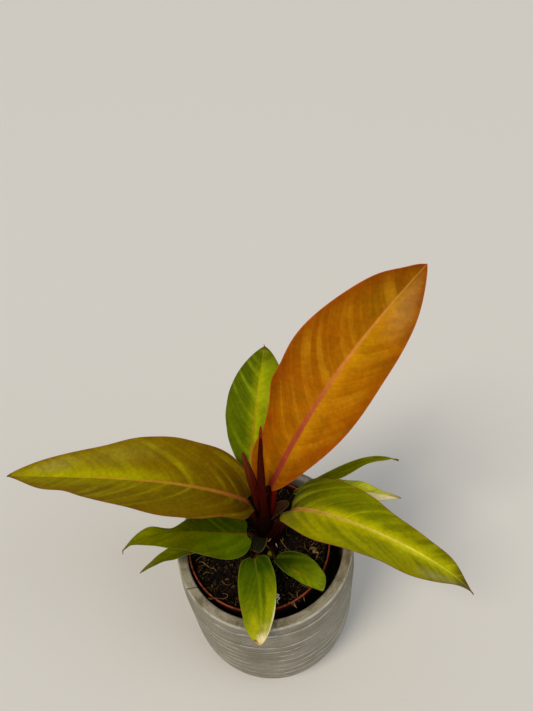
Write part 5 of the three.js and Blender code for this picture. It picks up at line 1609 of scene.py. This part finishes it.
# Roots that lie on the soil or over the thin pot's lip, and those at the foot of the stalks
roots = [
    {"radius": 0.42, "path": [
        [-46.3, -41.4, 123.6], [-45.3, -43.2, 125.6], [-43.0, -43.9, 126.2], [-40.3, -43.6, 126.2],
        [-37.5, -42.2, 121.5], [-34.8, -41.3, 118.6], [-31.9, -39.5, 118.2], [-33.0, -38.1, 118.8],
        [-35.9, -37.4, 119.2]]},
    {"radius": 0.45, "path": [
        [-55.2, -9.0, 117.6], [-52.1, -10.0, 119.2], [-49.0, -12.9, 119.2], [-45.9, -15.2, 118.6],
        [-42.8, -15.9, 118], [-41.1, -17.8, 116.6]]},
    {"radius": 0.35, "path": [
        [-59, -8.0, 118], [-56.4, -7.5, 119.4], [-54.0, -5.6, 119.4], [-51.4, -4.6, 119],
        [-51.1, -8.0, 117.6]]},
    {"radius": 0.35, "path": [
        [-36.3, -26.6, 117.4], [-34.6, -29.6, 119], [-31.4, -31.2, 119], [-29.1, -29.2, 117]]},
    {"radius": 0.35, "path": [
        [-55.6, -21.5, 118], [-55.0, -18.6, 119.6], [-53.6, -16.6, 119.4], [-53.2, -13.9, 117.6]]},
    {"radius": 0.3, "path": [
        [17.5, -50.6, 122], [18.4, -52.4, 125.8], [19.6, -54.6, 124.6], [20.6, -56.0, 122.5]]},
    {"radius": 0.3, "path": [
        [14.5, -50.2, 121.5], [15.8, -52.4, 125.9], [18.2, -54.4, 125.2], [20.0, -55.4, 123]]},
    {"radius": 0.3, "path": [
        [26.3, -44.5, 119], [26.3, -47.8, 124.6], [26.5, -50.2, 125.2], [26.8, -51.6, 123]]},
    {"radius": 0.42, "path": [
        [13.7, 6.1, 118], [15.2, 2.5, 120.5], [14.1, 0.4, 120.8], [13.0, 2.0, 120], [15.1, -1.9, 119.6],
        [18.0, -5.6, 117.4]]},
    {"radius": 0.4, "path": [[40.4, 3.7, 116], [41.3, -2.0, 119], [37.6, -5.2, 119], [35.5, -8.4, 116]]},
    {"radius": 0.9, "path": [[1.4, -0.6, 125.4], [1.6, -2.4, 127.6], [3.6, -3.0, 129.6], [5.4, -2.2, 131.6]]},
    {"radius": 0.8, "path": [[0.0, -1.0, 122.6], [0.8, -2.8, 122.4], [2.4, -3.6, 120.8], [3.4, -4.2, 118]]},
    {"radius": 0.5, "white": 0.6, "path": [[8.6, -0.4, 121.2], [9.2, -1.8, 119.4], [10.0, -2.4, 116.4]]},
    {"radius": 0.8, "path": [[-10.0, -11.3, 117.4], [-8.2, -9.9, 118.8], [-4.9, -8.7, 117.6]]},
    {"radius": 1.2, "path": [
        [37.6, -6, 117], [41.4, -8.4, 119], [38.6, -10.4, 118.6], [42.4, -12, 119], [40.6, -15, 117]]},
    {"radius": 0.48, "white": 1, "path": [
        [6.9, -41.4, 117.6], [5.6, -43.6, 120.8], [7.9, -44.1, 121.6], [5.8, -45.8, 121], [8.4, -46.2, 121.6],
        [6.2, -48.2, 121.2], [7.0, -49.8, 118.6]]},
]
rootForm = {
    "tones": [(0.35, "4c3418"), (0.52, "7e6236"), (0.7, "a48c5c")],
    "white": "eae6dc",
    "stain": 3.333,          # size of the stains
    "bump": (0.4, 0.3), "roughness": 0.65, "ior": 1.5, "gloss": 0.2,
    "sides": 7,
    "steps": 6,              # of the path, from one point of the list to the next
}


# Aerial and feeder roots: straw-brown and dull, and the newest ones white
def rootMaterial():
    material, tree = newMaterial("live root")
    white = addNode(tree, "ShaderNodeAttribute", attribute_name="white").outputs["Fac"]
    place = addNode(tree, "ShaderNodeTexCoord").outputs["Object"]
    stain = addNode(tree, "ShaderNodeTexNoise", {
        "Vector": place, "Scale": patternScale(rootForm["stain"]), "Detail": 4.0})
    tone = addNode(tree, "ShaderNodeValToRGB", {"Fac": stain}, stops=rootForm["tones"])
    colour = addNode(tree, "ShaderNodeMix", {
        "Factor": white, "A": tone.outputs["Color"], "B": linear(rootForm["white"])}, data_type="RGBA")
    addSurface(tree, rootForm, colour, rootForm["roughness"], stain)
    return material


def buildRoots():
    allPoints, allFaces, whites, count = [], [], [], 0
    for root in roots:
        knots = np.array(root["path"], float)
        knots = np.concatenate([[2 * knots[0] - knots[1]], knots, [2 * knots[-1] - knots[-2]]])
        path = []
        for a, b, c, d in zip(knots, knots[1:], knots[2:], knots[3:]):
            for t in np.linspace(0, 1, rootForm["steps"] + 1)[:-1]:
                path.append(0.5 * (2 * b + (c - a) * t + (2 * a - 5 * b + 4 * c - d) * t ** 2
                                   + (3 * b - a - 3 * c + d) * t ** 3))
        path.append(knots[-2])
        radii = root["radius"] * (1 - 0.5 * np.linspace(0, 1, len(path)))
        points, faces, _ = tube(path, radii, rootForm["sides"])
        allPoints.append(points)
        allFaces += [[i + count for i in face] for face in faces]
        whites += [root.get("white", 0)] * len(points)
        count += len(points)
    makePiece("soil_roots", np.concatenate(allPoints), allFaces, rootMaterial(),
              numbers={"white": whites})


buildRoots()
print("soil built")
